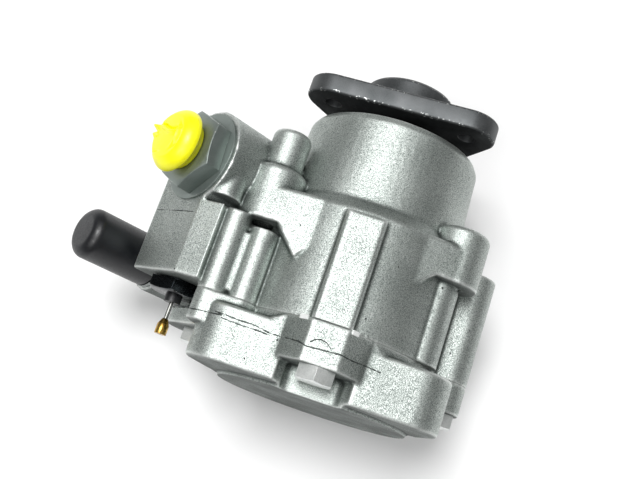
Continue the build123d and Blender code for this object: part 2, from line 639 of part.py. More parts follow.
# The shaft, with the tail in its bush, the splines of the rotor and the collar behind the bearing
def drive_shaft():
    ring_rear = CAM_REAR - ROTOR_RING_THICKNESS - SEAT_GAP
    shaft = turned(
        (0, SHAFT_REAR), (SHAFT_TAIL_RADIUS - SHAFT_CHAMFER, SHAFT_REAR),
        (SHAFT_TAIL_RADIUS, SHAFT_REAR + SHAFT_CHAMFER), (SHAFT_TAIL_RADIUS, SPLINE_START),
        (SPLINE_ROOT_RADIUS, SPLINE_START), (SPLINE_ROOT_RADIUS, CAM_FRONT + SEAT_GAP),
        (SHAFT_BODY_RADIUS, CAM_FRONT + SEAT_GAP), (SHAFT_BODY_RADIUS, BEARING_REAR),
        (SHAFT_RADIUS, BEARING_REAR), (SHAFT_RADIUS, SHAFT_FRONT - SHAFT_CHAMFER),
        (SHAFT_RADIUS - SHAFT_CHAMFER, SHAFT_FRONT), (0, SHAFT_FRONT))
    for tooth in spline_teeth(SPLINE_TOOTH, SPLINE_TIP_RADIUS, SPLINE_START, CAM_FRONT + SEAT_GAP):
        shaft += tooth
    groove_root = SPLINE_ROOT_RADIUS - ROTOR_RING_GROOVE
    shaft -= turned((groove_root, ring_rear - SEAT_GAP), (ROTOR_RING_RADIUS, ring_rear - SEAT_GAP),
                    (ROTOR_RING_RADIUS, CAM_REAR), (groove_root, CAM_REAR))
    centre_drill = turned((0, SHAFT_FRONT - 4), (2.2, SHAFT_FRONT), (0, SHAFT_FRONT))
    return shaft - centre_drill


# The rotor, splined to the shaft, with a keyhole slot for each vane
def rotor():
    rear, front = CAM_REAR + RUNNING_FIT, CAM_FRONT - RUNNING_FIT
    body = rod((0, 0), ROTOR_RADIUS, rear, front) - rod((0, 0), SPLINE_ROOT_RADIUS + SLIP_FIT, rear - 1, front + 1)
    for tooth in spline_teeth(SPLINE_TOOTH + 2 * SLIP_FIT, SPLINE_TIP_RADIUS + SLIP_FIT, rear - 1, front + 1):
        body -= tooth
    slot_width = VANE_THICKNESS + 2 * RUNNING_FIT
    slot_outline = Pos((SLOT_ROOT + ROTOR_RADIUS + 1) / 2, 0) * Rectangle(ROTOR_RADIUS + 1 - SLOT_ROOT, slot_width)
    slot = prism(slot_outline + Pos(SLOT_ROOT, 0) * Circle(SLOT_BULB), rear - 1, front + 1)
    for number in range(VANE_COUNT):
        body -= Rot(Y=360 / VANE_COUNT * number) * slot
    return body


# The vanes, drawn in so that their rounded tips clear the narrow side of the cam
def vanes():
    tip = CAM_SHORT_RADIUS - 2 * SLIP_FIT
    outline = Pos(tip - VANE_HEIGHT / 2, 0) * Rectangle(VANE_HEIGHT, VANE_THICKNESS)
    outline = fillet(outline.vertices().group_by(Axis.X)[-1], VANE_THICKNESS * 0.4)
    vane = prism(outline, CAM_REAR + RUNNING_FIT, CAM_FRONT - RUNNING_FIT)
    return [Rot(Y=360 / VANE_COUNT * number) * vane for number in range(VANE_COUNT)]


# Where the two dowels stand, beside the narrow sides of the cam
def dowel_places():
    return [(0, DOWEL_CIRCLE), (0, -DOWEL_CIRCLE)]


def dowel_pins():
    return [rod(place, DOWEL_RADIUS, JOINT_FACE + SEAT_GAP, PLATE_FRONT - SEAT_GAP) for place in dowel_places()]


# A disc of the pump element with a hole for the shaft and for both dowels
def element_disc(rear, front):
    disc = rod((0, 0), CHAMBER_RADIUS - SLIP_FIT, rear, front)
    for place in dowel_places():
        disc -= rod(place, DOWEL_RADIUS + RUNNING_FIT, rear - 1, front + 1)
    return disc


def cam_ring():
    ring = element_disc(CAM_REAR, CAM_FRONT)
    return ring - prism(Ellipse(CAM_LONG_RADIUS, CAM_SHORT_RADIUS), CAM_REAR - 1, CAM_FRONT + 1)


# A port plate with two suction and two pressure windows
def port_plate(rear, front):
    plate = element_disc(rear, front) - rod((0, 0), SHAFT_BORE_RADIUS, rear - 1, front + 1)
    for middle_angle in (40, 140, 220, 320):
        line = CenterArc((0, 0), PORT_CIRCLE, middle_angle - PORT_ANGLE / 2, PORT_ANGLE)
        plate -= prism(SlotArc(line, PORT_WIDTH), rear - 1, front + 1)
    return plate


# The front plate carries a seal ring in a groove round its rim
def front_port_plate():
    middle = (CAM_FRONT + PLATE_FRONT) / 2
    groove_half = PLATE_SEAL_SECTION + SEAT_GAP
    rim = CHAMBER_RADIUS - SLIP_FIT
    groove = turned((rim - 2 * groove_half, middle - groove_half), (rim + 1, middle - groove_half),
                    (rim + 1, middle + groove_half), (rim - 2 * groove_half, middle + groove_half))
    return port_plate(CAM_FRONT, PLATE_FRONT) - groove


# The dished spring washer between the front plate and the chamber floor
def plate_spring():
    low, high = PLATE_FRONT + SEAT_GAP, CHAMBER_FLOOR - SEAT_GAP
    return turned((SPRING_INNER_RADIUS, low), (SPRING_OUTER_RADIUS, high - SPRING_THICKNESS),
                  (SPRING_OUTER_RADIUS, high), (SPRING_INNER_RADIUS, low + SPRING_THICKNESS))


# The snap ring that keeps the rotor on the shaft
def rotor_ring():
    front = CAM_REAR - SEAT_GAP
    rear = front - ROTOR_RING_THICKNESS
    inner = SPLINE_ROOT_RADIUS - ROTOR_RING_GROOVE + SEAT_GAP
    return turned((inner, rear), (ROTOR_RING_RADIUS, rear), (ROTOR_RING_RADIUS, front), (inner, front))


def rear_bush():
    outer = SHAFT_TAIL_RADIUS + BUSH_WALL
    inner = SHAFT_TAIL_RADIUS + RUNNING_FIT
    front = BUSH_REAR + BUSH_LENGTH
    return turned((inner, BUSH_REAR), (outer, BUSH_REAR), (outer, front), (inner, front))


# The ball bearing behind the seal
def bearing_ring(inner, outer):
    rear, front = BEARING_REAR + SEAT_GAP, BEARING_FRONT - SEAT_GAP
    ring = turned((inner, rear), (outer, rear), (outer, front), (inner, front))
    return ring - shaft_torus(BALL_CIRCLE, BALL_RADIUS + SLIP_FIT, (rear + front) / 2)


def bearing_balls():
    middle = (BEARING_REAR + BEARING_FRONT) / 2
    ball = Pos(BALL_CIRCLE, middle, 0) * Sphere(BALL_RADIUS)
    return [Rot(Y=360 / BALL_COUNT * number) * ball for number in range(BALL_COUNT)]


def bearing_cage():
    middle = (BEARING_REAR + BEARING_FRONT) / 2
    inner, outer = BALL_CIRCLE - CAGE_WALL / 2, BALL_CIRCLE + CAGE_WALL / 2
    cage = turned((inner, middle - CAGE_WIDTH / 2), (outer, middle - CAGE_WIDTH / 2),
                  (outer, middle + CAGE_WIDTH / 2), (inner, middle + CAGE_WIDTH / 2))
    pocket = Pos(BALL_CIRCLE, middle, 0) * Rot(Y=90) * Cylinder(BALL_RADIUS + SLIP_FIT, 2 * CAGE_WALL)
    for number in range(BALL_COUNT):
        cage -= Rot(Y=360 / BALL_COUNT * number) * pocket
    return cage


# The open snap ring in front of the bearing
def bearing_snap_ring():
    rear, front = BEARING_FRONT, BEARING_FRONT + SNAP_RING_THICKNESS
    outer = BEARING_RADIUS + SNAP_GROOVE_DEPTH - SEAT_GAP
    ring = turned((outer - SNAP_RING_WIDTH, rear), (outer, rear), (outer, front), (outer - SNAP_RING_WIDTH, front))
    return ring - prism(Pos(0, outer) * Rectangle(SNAP_RING_GAP, outer), rear - 1, front + 1)


# The shaft seal: case, web and a lip that runs on the shaft, with its garter spring behind the lip
def shaft_seal():
    outer, front = BEARING_RADIUS - SLIP_FIT, SEAL_REAR + SEAL_WIDTH
    lip = [(SHAFT_RADIUS + RUNNING_FIT + rise, SEAL_REAR + station) for rise, station in SEAL_LIP]
    return turned((outer, SEAL_REAR), (outer, front), *lip, (outer - SEAL_WALL, front - SEAL_WALL),
                  (outer - SEAL_WALL, SEAL_REAR))


def seal_garter():
    rise, station = SEAL_LIP[4]
    place = SHAFT_RADIUS + RUNNING_FIT + rise + GARTER_RADIUS - SEAT_GAP
    return shaft_torus(place, GARTER_RADIUS, SEAL_REAR + station + 2 * GARTER_RADIUS)


# The outlet union: hexagon, threaded shank and the port for the pressure hose
def outlet_union():
    head = union_plane(UNION_HEX_BASE).location * Rot(Z=UNION_HEX_TURN) * hex_head(UNION_HEX_ACROSS, UNION_HEX_HEIGHT, 2.6)
    shank = side_rod(union_plane, UNION_SHANK_RADIUS, UNION_INNER, UNION_HEX_BASE)
    port = side_rod(union_plane, UNION_PORT_RADIUS, UNION_FRONT - UNION_PORT_DEPTH, UNION_FRONT + 1)
    return head + shank - port - side_rod(union_plane, UNION_THROAT_RADIUS, UNION_INNER - 1, UNION_FRONT)


def union_washer():
    washer = side_rod(union_plane, UNION_WASHER_RADIUS, BOSS_FACE, UNION_HEX_BASE)
    return washer - side_rod(union_plane, UNION_SHANK_RADIUS + SLIP_FIT, BOSS_FACE - 1, UNION_HEX_BASE + 1)


# The moulded transport plug in the outlet, with finger notches round its crown
def outlet_plug():
    head_rear = UNION_FRONT + PLUG_NECK_LENGTH
    head_front = head_rear + PLUG_HEAD_THICKNESS
    crown = head_front + PLUG_CROWN_HEIGHT
    body = side_turned(
        union_plane, (0, UNION_FRONT - PLUG_STEM_LENGTH), (UNION_PORT_RADIUS - 1, UNION_FRONT - PLUG_STEM_LENGTH),
        (UNION_PORT_RADIUS - SLIP_FIT, UNION_FRONT - PLUG_STEM_LENGTH + 2),
        (UNION_PORT_RADIUS - SLIP_FIT, UNION_FRONT + SEAT_GAP), (PLUG_NECK_RADIUS, UNION_FRONT + SEAT_GAP),
        (PLUG_NECK_RADIUS, head_rear), (PLUG_HEAD_RADIUS, head_rear), (PLUG_HEAD_RADIUS, head_front - 1),
        (PLUG_HEAD_RADIUS - 1, head_front), (PLUG_CROWN_RADIUS, head_front),
        (PLUG_CROWN_RADIUS, crown - PLUG_CROWN_ROUND), (PLUG_CROWN_RADIUS - PLUG_CROWN_ROUND, crown), (0, crown))
    notch = Pos(PLUG_CROWN_RADIUS, 0, head_front) * Cylinder(
        PLUG_NOTCH_RADIUS, PLUG_CROWN_HEIGHT + 1, align=(Align.CENTER, Align.CENTER, Align.MIN))
    for number in range(PLUG_NOTCH_COUNT):
        body -= union_plane(0).location * Rot(Z=90 + 360 / PLUG_NOTCH_COUNT * number) * notch
    return body


# The flow valve spool: two lands, a nose that meets the union and the cavity of the relief valve
def valve_spool():
    land, front = VALVE_BORE_RADIUS - RUNNING_FIT, SPOOL_FRONT - SPOOL_NOSE_LENGTH
    cavity_end = SPOOL_BACK + SPOOL_CAVITY_DEPTH
    return side_turned(
        union_plane, (SPOOL_CAVITY_RADIUS, SPOOL_BACK), (land, SPOOL_BACK), (land, SPOOL_BACK + SPOOL_LAND),
        (SPOOL_GROOVE_RADIUS, SPOOL_BACK + SPOOL_LAND), (SPOOL_GROOVE_RADIUS, front - SPOOL_LAND),
        (land, front - SPOOL_LAND), (land, front), (SPOOL_NOSE_RADIUS, front), (SPOOL_NOSE_RADIUS, SPOOL_FRONT),
        (0, SPOOL_FRONT), (0, cavity_end), (SPOOL_CAVITY_RADIUS, cavity_end))


def valve_spring():
    return side_spring(union_plane, VALVE_SPRING_RADIUS, VALVE_SPRING_WIRE, VALVE_SPRING_TURNS,
                       VALVE_BORE_FLOOR + SEAT_GAP, SPOOL_BACK - SEAT_GAP)


def relief_seat():
    outer = SPOOL_CAVITY_RADIUS - SLIP_FIT
    return side_turned(union_plane, (RELIEF_SEAT_BORE, SPOOL_BACK), (outer, SPOOL_BACK),
                       (outer, RELIEF_SEAT_FRONT), (RELIEF_SEAT_BORE, RELIEF_SEAT_FRONT))


def relief_ball():
    return union_plane(RELIEF_BALL_REACH).location * Sphere(RELIEF_BALL_RADIUS)


def relief_spring():
    rise = sqrt((RELIEF_BALL_RADIUS + RELIEF_SPRING_WIRE)**2 - RELIEF_SPRING_RADIUS**2)
    return side_spring(union_plane, RELIEF_SPRING_RADIUS, RELIEF_SPRING_WIRE, RELIEF_SPRING_TURNS,
                       RELIEF_BALL_REACH + rise - RELIEF_SPRING_WIRE + SEAT_GAP,
                       SPOOL_BACK + SPOOL_CAVITY_DEPTH - SEAT_GAP)


# The steel suction pipe, pressed into its boss up to a bead
def suction_pipe():
    inner, end = PIPE_RADIUS - PIPE_WALL, CAP_END - CAP_WALL - SEAT_GAP
    bead_rear = SUCTION_BOSS_FACE + SEAT_GAP
    bead = PIPE_RADIUS + BEAD_HEIGHT
    return side_turned(
        pipe_plane, (inner, PIPE_SEAT + SEAT_GAP), (PIPE_RADIUS, PIPE_SEAT + SEAT_GAP), (PIPE_RADIUS, bead_rear),
        (bead, bead_rear), (bead, bead_rear + BEAD_WIDTH), (PIPE_RADIUS, bead_rear + BEAD_WIDTH),
        (PIPE_RADIUS, end), (inner, end))


# The rubber transport cap over the suction pipe
def suction_cap():
    inner = PIPE_RADIUS + SLIP_FIT
    outer = inner + CAP_WALL
    cap = side_turned(pipe_plane, (inner, CAP_MOUTH), (outer, CAP_MOUTH), (outer, CAP_END), (0, CAP_END),
                      (0, CAP_END - CAP_WALL), (inner, CAP_END - CAP_WALL))
    return fillet(cap.edges().filter_by(GeomType.CIRCLE).sort_by(Axis(pipe_plane(0).origin, pipe_plane(0).z_dir))[-1],
                  CAP_ROUND)


# The pressure switch: body, washer, insulator, contact stud and brass terminal
def switch_body():
    head = Plane(origin=(SWITCH_PLACE[0], SWITCH_HEX_FRONT, SWITCH_PLACE[1]), x_dir=(0, 0, 1),
                 z_dir=(0, -1, 0)).location * hex_head(SWITCH_HEX_ACROSS, SWITCH_HEX_HEIGHT, 1.8)
    return head + rod(SWITCH_PLACE, SWITCH_SHANK_RADIUS, SWITCH_HEX_FRONT, BLOCK_REAR + SWITCH_SHANK_LENGTH)


def switch_washer():
    washer = rod(SWITCH_PLACE, SWITCH_WASHER_RADIUS, SWITCH_HEX_FRONT, BLOCK_REAR)
    return washer - rod(SWITCH_PLACE, SWITCH_SHANK_RADIUS + SLIP_FIT, SWITCH_HEX_FRONT - 1, BLOCK_REAR + 1)


def switch_insulator():
    body = rod(SWITCH_PLACE, INSULATOR_RADIUS, INSULATOR_REAR, SWITCH_HEX_REAR)
    return body - rod(SWITCH_PLACE, STUD_RADIUS, INSULATOR_REAR - 1, SWITCH_HEX_REAR + 1)


def switch_stud():
    return rod(SWITCH_PLACE, STUD_RADIUS, INSULATOR_REAR - STUD_LENGTH, SWITCH_HEX_REAR)


def brass_terminal():
    rear = INSULATOR_REAR - STUD_LENGTH
    sleeve = Pos(SWITCH_PLACE[0], 0, SWITCH_PLACE[1]) * turned(
        (STUD_RADIUS, rear), (TERMINAL_RADIUS, rear), (TERMINAL_RADIUS, rear + 0.6 * TERMINAL_LENGTH),
        (TERMINAL_RADIUS / 2, rear + TERMINAL_LENGTH), (STUD_RADIUS, rear + TERMINAL_LENGTH))
    return sleeve


os.makedirs("parts", exist_ok=True)
write("front_housing", front_housing())
write("rear_cover", rear_cover())
write("cover_screw_front", cover_screw(FRONT_SCREW, FRONT_SEAT))
write("cover_screw_left", cover_screw(LEFT_SCREW, SIDE_SEAT))
write("cover_screw_right", cover_screw(RIGHT_SCREW, SIDE_SEAT))
write("cover_screw_lower", cover_screw(LOWER_SCREW, SIDE_SEAT))
write("cover_seal", shaft_torus(COVER_SEAL_CIRCLE, COVER_SEAL_SECTION, JOINT_FACE - COVER_SEAL_SECTION - SEAT_GAP))
write("drive_flange", drive_flange())
write("drive_shaft", drive_shaft())
write("rear_bush", rear_bush())
write("rotor", rotor())
write("vanes", *vanes())
write("rotor_ring", rotor_ring())
write("cam_ring", cam_ring())
write("rear_port_plate", port_plate(JOINT_FACE, CAM_REAR))
write("front_port_plate", front_port_plate())
write("plate_seal", shaft_torus(CHAMBER_RADIUS - PLATE_SEAL_SECTION - SEAT_GAP, PLATE_SEAL_SECTION,
                                (CAM_FRONT + PLATE_FRONT) / 2))
write("plate_spring", plate_spring())
write("dowel_pins", *dowel_pins())
write("bearing_outer_ring", bearing_ring(BEARING_RADIUS - RING_WALL, BEARING_RADIUS - SLIP_FIT))
write("bearing_inner_ring", bearing_ring(SHAFT_RADIUS + SLIP_FIT, SHAFT_RADIUS + RING_WALL))
write("bearing_balls", *bearing_balls())
write("bearing_cage", bearing_cage())
write("bearing_snap_ring", bearing_snap_ring())
write("shaft_seal", shaft_seal())
write("seal_garter", seal_garter())
write("outlet_union", outlet_union())
write("union_washer", union_washer())
write("outlet_plug", outlet_plug())
write("valve_spool", valve_spool())
write("valve_spring", valve_spring())
write("relief_seat", relief_seat())
write("relief_ball", relief_ball())
write("relief_spring", relief_spring())
write("suction_pipe", suction_pipe())
write("suction_cap", suction_cap())
write("switch_body", switch_body())
write("switch_washer", switch_washer())
write("switch_insulator", switch_insulator())
write("switch_stud", switch_stud())
write("brass_terminal", brass_terminal())
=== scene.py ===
import math

import bmesh
import bpy
import numpy as np
from bpy.props import FloatProperty, FloatVectorProperty, IntProperty, PointerProperty
from mathutils import Matrix, Vector
from mathutils.bvhtree import BVHTree


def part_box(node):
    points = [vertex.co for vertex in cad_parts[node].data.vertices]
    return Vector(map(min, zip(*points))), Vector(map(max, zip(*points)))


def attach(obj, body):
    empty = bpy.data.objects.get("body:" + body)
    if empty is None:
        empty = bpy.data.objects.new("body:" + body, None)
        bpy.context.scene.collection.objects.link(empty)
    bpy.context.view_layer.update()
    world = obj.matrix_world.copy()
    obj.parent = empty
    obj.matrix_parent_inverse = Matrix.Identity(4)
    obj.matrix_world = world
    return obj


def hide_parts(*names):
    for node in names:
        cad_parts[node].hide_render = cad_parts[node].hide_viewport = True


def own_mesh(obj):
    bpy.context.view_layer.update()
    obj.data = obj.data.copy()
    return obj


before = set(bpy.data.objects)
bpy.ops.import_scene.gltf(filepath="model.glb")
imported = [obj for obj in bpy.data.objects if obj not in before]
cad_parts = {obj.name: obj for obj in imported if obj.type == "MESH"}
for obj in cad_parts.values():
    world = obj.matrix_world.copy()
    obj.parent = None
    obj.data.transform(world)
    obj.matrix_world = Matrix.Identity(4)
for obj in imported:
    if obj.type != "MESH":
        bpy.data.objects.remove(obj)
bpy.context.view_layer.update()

bl_info = {
    "name": "Power Steering Pump",
    "version": (1, 0, 0),
    "blender": (4, 5, 0),
    "location": "View3D > Sidebar > Pump",
    "description": "Dresses a packed vane pump: castings, steel parts, transport plugs and stage",
    "category": "Object",
}

MM = 0.001

# Places that the source of the solids also uses, in millimetres, and turns about the shaft in degrees
JOINT_FACE, EAR_REAR, FLOOR = 25.6, 57.0, -54.0
UNION_TURN, UNION_STATION, UNION_OFFSET = 136.0, 74.5, 28.6
UNION_FRONT, PLUG_HEAD, PLUG_TOP = 75.6, 79.2, 86.5
PIPE_TURN, PIPE_STATION, PIPE_OFFSET = 137.0, 35.7, 63.9
CAP_MOUTH, CAP_END, CAP_RADIUS, CAP_WALL = 52.1, 84.6, 10.35, 1.3

# How a casting's mesh is smoothed: the share of the way that a vertex goes in each pass
FIRST_PASS, SHRINK, GROW = 0.45, 0.5, -0.52
# How its edges and hollows are read: passes of averaging, and what makes a bend or a depth count in full
BEND_PASSES, BEND_GAIN = 3, 14
FILL_PASSES, FULL_DEPTH = 24, 1.2
MOST_TRIANGLES = 190000

# Angles in degrees: faces are joined below the first, and edges are broken above the second
FLAT_BELOW, SHARP_ABOVE = 0.6, 28

# The photograph's view, in metres; its frame is 640 by 479 pixels
EYE = Vector((0.0, -0.0271, 0.3595))
RIGHT, UP = Vector((0.9484, 0.3152, 0.0339)), Vector((-0.3135, 0.9164, 0.2489))
LENS, SENSOR, SHIFT = 51.67, 36.0, 0.0011
WIDE, HIGH = 640, 479
# Pixels between the points of a line that is laid on the castings
LINE_STEP = 1.6


def linear(code):
    """An sRGB hex value as linear red, green and blue."""
    values = [int(code[place:place + 2], 16) / 255 for place in (1, 3, 5)]
    return tuple(v / 12.92 if v <= 0.04045 else ((v + 0.055) / 1.055) ** 2.4 for v in values)


# Sizes and colours that a user would change


class PumpCastings(bpy.types.PropertyGroup):
    """The two aluminium castings and the marks of their mould."""

    voxel: FloatProperty(
        name="Mesh pitch", description="Spacing of the mesh that gives the castings their soft edges",
        default=0.64 * MM, min=0.5 * MM, max=3 * MM, unit="LENGTH", subtype="DISTANCE", precision=5)
    rounds: IntProperty(
        name="Edge rounding", description="Rounds of smoothing of the cast edges", default=3, min=0, max=30)
    grain: FloatProperty(
        name="Grain", description="Spacing of the shot-blasted grain",
        default=0.34 * MM, min=0.1 * MM, max=3 * MM, unit="LENGTH", subtype="DISTANCE", precision=5)
    flash: FloatProperty(
        name="Mould line", description="Half width of the raised line where the mould halves met",
        default=0.26 * MM, min=0.05 * MM, max=1 * MM, unit="LENGTH", subtype="DISTANCE", precision=5)
    light: FloatVectorProperty(
        name="Light metal", description="Aluminium on the tops of the grain", subtype="COLOR",
        default=linear("#ccd2ce"), min=0, max=1)
    # Painted shade: the colour that the hollows and the faces turned to the rear are darkened towards
    shade_colour: FloatVectorProperty(
        name="Painted shade", description="Painted shade in the hollows and on the faces that are turned to the rear",
        subtype="COLOR", default=linear("#383d3b"), min=0, max=1)
    dark: FloatVectorProperty(
        name="Dull metal", description="Aluminium in the hollows of the grain", subtype="COLOR",
        default=linear("#7a827e"), min=0, max=1)


class PumpSteel(bpy.types.PropertyGroup):
    """The drive flange, the outlet union, the screws and the switch."""

    edge: FloatProperty(
        name="Broken edge", description="Width of the broken edges of turned and milled parts",
        default=0.36 * MM, min=0.05 * MM, max=2 * MM, unit="LENGTH", subtype="DISTANCE", precision=5)
    flange: FloatVectorProperty(
        name="Phosphated steel", description="The dark skin of the drive flange", subtype="COLOR",
        default=linear("#67696a"), min=0, max=1)
    zinc: FloatVectorProperty(
        name="Zinc plating", description="The grey-green plating of the union", subtype="COLOR",
        default=linear("#929b97"), min=0, max=1)
    worn: FloatVectorProperty(
        name="Worn edge", description="Bare steel where edges have rubbed", subtype="COLOR",
        default=linear("#dfe2e0"), min=0, max=1)


class PumpPlastics(bpy.types.PropertyGroup):
    """The transport plug in the outlet and the cap on the suction pipe."""

    plug: FloatVectorProperty(
        name="Plug", description="Yellow of the moulded outlet plug", subtype="COLOR",
        default=linear("#ffff1c"), min=0, max=1)
    cap: FloatVectorProperty(
        name="Cap", description="Black of the suction pipe's cap", subtype="COLOR",
        default=linear("#14171c"), min=0, max=1)
    web: FloatProperty(
        name="Grip web", description="Height of the moulded web across the plug's crown",
        default=1.1 * MM, min=0.0, max=3 * MM, unit="LENGTH", subtype="DISTANCE", precision=5)


class PumpStage(bpy.types.PropertyGroup):
    """The floor, the room's light and the two lamps."""

    floor: FloatVectorProperty(
        name="Floor", description="Colour of the table the pump lies on", subtype="COLOR",
        default=linear("#f0f0f0"), min=0, max=1)
    key: FloatProperty(
        name="Key lamp", description="Strength of the soft lamp above the drive end",
        default=2.65, min=0, max=20)
    fill: FloatProperty(
        name="Fill lamp", description="Strength of the soft lamp on the plug's side",
        default=0.9, min=0, max=20)
    spread: FloatProperty(
        name="Softness", description="Width of each lamp as seen from the pump",
        default=math.radians(24), min=0, max=math.pi, subtype="ANGLE")
    ceiling: FloatProperty(
        name="Ceiling light", description="Strength of the room's light from overhead",
        default=0.34, min=0, max=5)
    walls: FloatProperty(
        name="Wall light", description="Strength of the room's light from the sides",
        default=0.1, min=0, max=5)


# Nodes and materials


def add(tree, kind, inputs=None, **settings):
    """Adds one node with its settings; inputs are values or the sockets that feed them."""
    node = tree.nodes.new(kind)
    for name, value in settings.items():
        setattr(node, name, value)
    for socket, value in (inputs or {}).items():
        if isinstance(value, bpy.types.NodeSocket):
            tree.links.new(value, node.inputs[socket])
        else:
            node.inputs[socket].default_value = value
    return node


def new_material(name):
    """A material with its tree, its shader and the socket of the piece's own coordinates."""
    material = bpy.data.materials.new(name)
    material.use_nodes = True
    tree = material.node_tree
    tree.nodes.clear()
    shader = add(tree, "ShaderNodeBsdfPrincipled")
    add(tree, "ShaderNodeOutputMaterial", {"Surface": shader.outputs[0]})
    place = add(tree, "ShaderNodeTexCoord").outputs["Object"]
    return material, tree, shader, place


def opaque(colour):
    return (*colour, 1.0)


def rear_shaded(tree, colour, shade_colour, most):
    """A colour darkened with painted shade, in patches, on faces turned to the rear, and the share of that
    shade.
    """
    source = add(tree, "ShaderNodeTexCoord")
    rearward = add(tree, "ShaderNodeSeparateXYZ", {"Vector": source.outputs["Normal"]}).outputs["Y"]
    patches = add(tree, "ShaderNodeTexNoise", {
        "Vector": source.outputs["Object"], "Scale": 1 / (17 * MM), "Detail": 6.0}).outputs[0]
    patches = add(tree, "ShaderNodeMapRange", {
        "Value": patches, "From Min": 0.35, "From Max": 0.6, "To Min": most * 0.7, "To Max": most}).outputs[0]
    rear_shade = add(tree, "ShaderNodeMapRange", {
        "Value": rearward, "From Min": -0.5, "From Max": -0.9, "To Max": patches}).outputs[0]
    dirty = add(tree, "ShaderNodeMix", {0: rear_shade, 6: colour, 7: opaque(shade_colour)}, data_type="RGBA")
    return dirty.outputs[2], rear_shade


def cast_aluminium(looks):
    """Die-cast aluminium, shot-blasted: a bright grain where it faces the light, dull grey on its flanks.

    Its edges are rubbed bright with a painted highlight; its corners, hollows, rear faces and few open pores
    carry painted shade.
    Blasting leaves dents of 0.1 to 0.2 mm, too fine to show, so the grain is drawn about twice as coarse.
    """
    material, tree, shader, place = new_material("aluminium_die_cast_blasted")
    waves, clouds, pores = 2.6 * MM, 14 * MM, 7 * MM
    grain = add(tree, "ShaderNodeTexNoise", {
        "Vector": place, "Scale": 1 / looks.grain, "Detail": 2.0, "Roughness": 0.6}).outputs[0]
    skin = add(tree, "ShaderNodeTexNoise", {
        "Vector": place, "Scale": 1 / waves, "Detail": 2.0, "Roughness": 0.5}).outputs[0]
    cloud = add(tree, "ShaderNodeTexNoise", {
        "Vector": place, "Scale": 1 / clouds, "Detail": 3.0, "Roughness": 0.5}).outputs[0]
    # Light and dull metal by the grain and blasting clouds; edges get wear and a painted highlight, corners
    # painted shade
    edge = add(tree, "ShaderNodeAttribute", attribute_name="edge").outputs["Fac"]
    peaks = add(tree, "ShaderNodeMapRange", {"Value": grain, "From Min": 0.36, "From Max": 0.62}).outputs[0]
    drift = add(tree, "ShaderNodeMapRange", {
        "Value": cloud, "From Min": 0.3, "From Max": 0.7, "To Min": -0.12, "To Max": 0.12}).outputs[0]
    # Edges go lighter, as worn metal and as a painted highlight; corners go darker with painted shade
    wear_highlight_and_shade = add(tree, "ShaderNodeMapRange", {
        "Value": edge, "From Min": -1.0, "From Max": 1.0, "To Min": -0.5, "To Max": 0.35}).outputs[0]
    share = add(tree, "ShaderNodeMath", {0: peaks, 1: drift}, operation="ADD").outputs[0]
    share = add(tree, "ShaderNodeMath", {0: share, 1: wear_highlight_and_shade}, operation="ADD", use_clamp=True).outputs[0]
    metal = add(tree, "ShaderNodeMix", {0: share, 6: opaque(looks.dark), 7: opaque(looks.light)},
                data_type="RGBA").outputs[2]
    # Rubbed bare and painted highlight: the sharpest edges go towards near white
    bare = add(tree, "ShaderNodeMapRange", {"Value": edge, "From Min": 0.6, "From Max": 1.0, "To Max": 0.35})
    metal = add(tree, "ShaderNodeMix", {0: bare.outputs[0], 6: metal, 7: opaque(linear("#f3f5f3"))},
                data_type="RGBA").outputs[2]
    # Painted shade in the hollows, on the faces turned to the rear and in the pores
    hollow = add(tree, "ShaderNodeAttribute", attribute_name="hollow").outputs["Fac"]
    hollow_shade = add(tree, "ShaderNodeMapRange", {
        "Value": hollow, "From Min": 0.25, "From Max": 0.9, "To Max": 0.9})
    metal = add(tree, "ShaderNodeMix", {0: hollow_shade.outputs[0], 6: metal, 7: opaque(looks.shade_colour)},
                data_type="RGBA").outputs[2]
    # Painted shade on the faces turned to the rear, which also shine less and are less metallic
    metal, rear_shade = rear_shaded(tree, metal, looks.shade_colour, 0.8)
    # Pores darkened with painted shade
    pore = add(tree, "ShaderNodeTexVoronoi", {"Vector": place, "Scale": 1 / pores}).outputs["Distance"]
    hole = add(tree, "ShaderNodeMapRange", {
        "Value": pore, "From Min": 0.035, "From Max": 0.055, "To Min": 1.0, "To Max": 0.0}).outputs[0]
    pore_shaded = add(tree, "ShaderNodeMix", {0: hole, 6: metal, 7: opaque(linear("#3f4341"))}, data_type="RGBA")
    tree.links.new(pore_shaded.outputs[2], shader.inputs["Base Color"])
    # The tops of the grain shine more, and metal shines less under the painted shade of the rear faces
    gloss = add(tree, "ShaderNodeMapRange", {
        "Value": grain, "From Min": 0.3, "From Max": 0.7, "To Min": 0.62, "To Max": 0.38})
    dulled = add(tree, "ShaderNodeMix", {0: rear_shade, 2: gloss.outputs[0], 3: 0.85}).outputs[0]
    tree.links.new(dulled, shader.inputs["Roughness"])
    metallic_share = add(tree, "ShaderNodeMapRange", {"Value": rear_shade, "To Min": 1.0, "To Max": 0.3}).outputs[0]
    tree.links.new(metallic_share, shader.inputs["Metallic"])
    # The relief: dents of the blasting, slow waves of the cast skin and sunk pores
    blasted = add(tree, "ShaderNodeBump", {"Strength": 1.0, "Distance": 0.1 * MM, "Height": grain}).outputs[0]
    wavy = add(tree, "ShaderNodeBump", {
        "Strength": 0.5, "Distance": 0.2 * MM, "Height": skin, "Normal": blasted}).outputs[0]
    sunk = add(tree, "ShaderNodeBump", {
        "Strength": 0.8, "Distance": 0.25 * MM, "Height": hole, "Normal": wavy}, invert=True).outputs[0]
    tree.links.new(sunk, shader.inputs["Normal"])
    return material


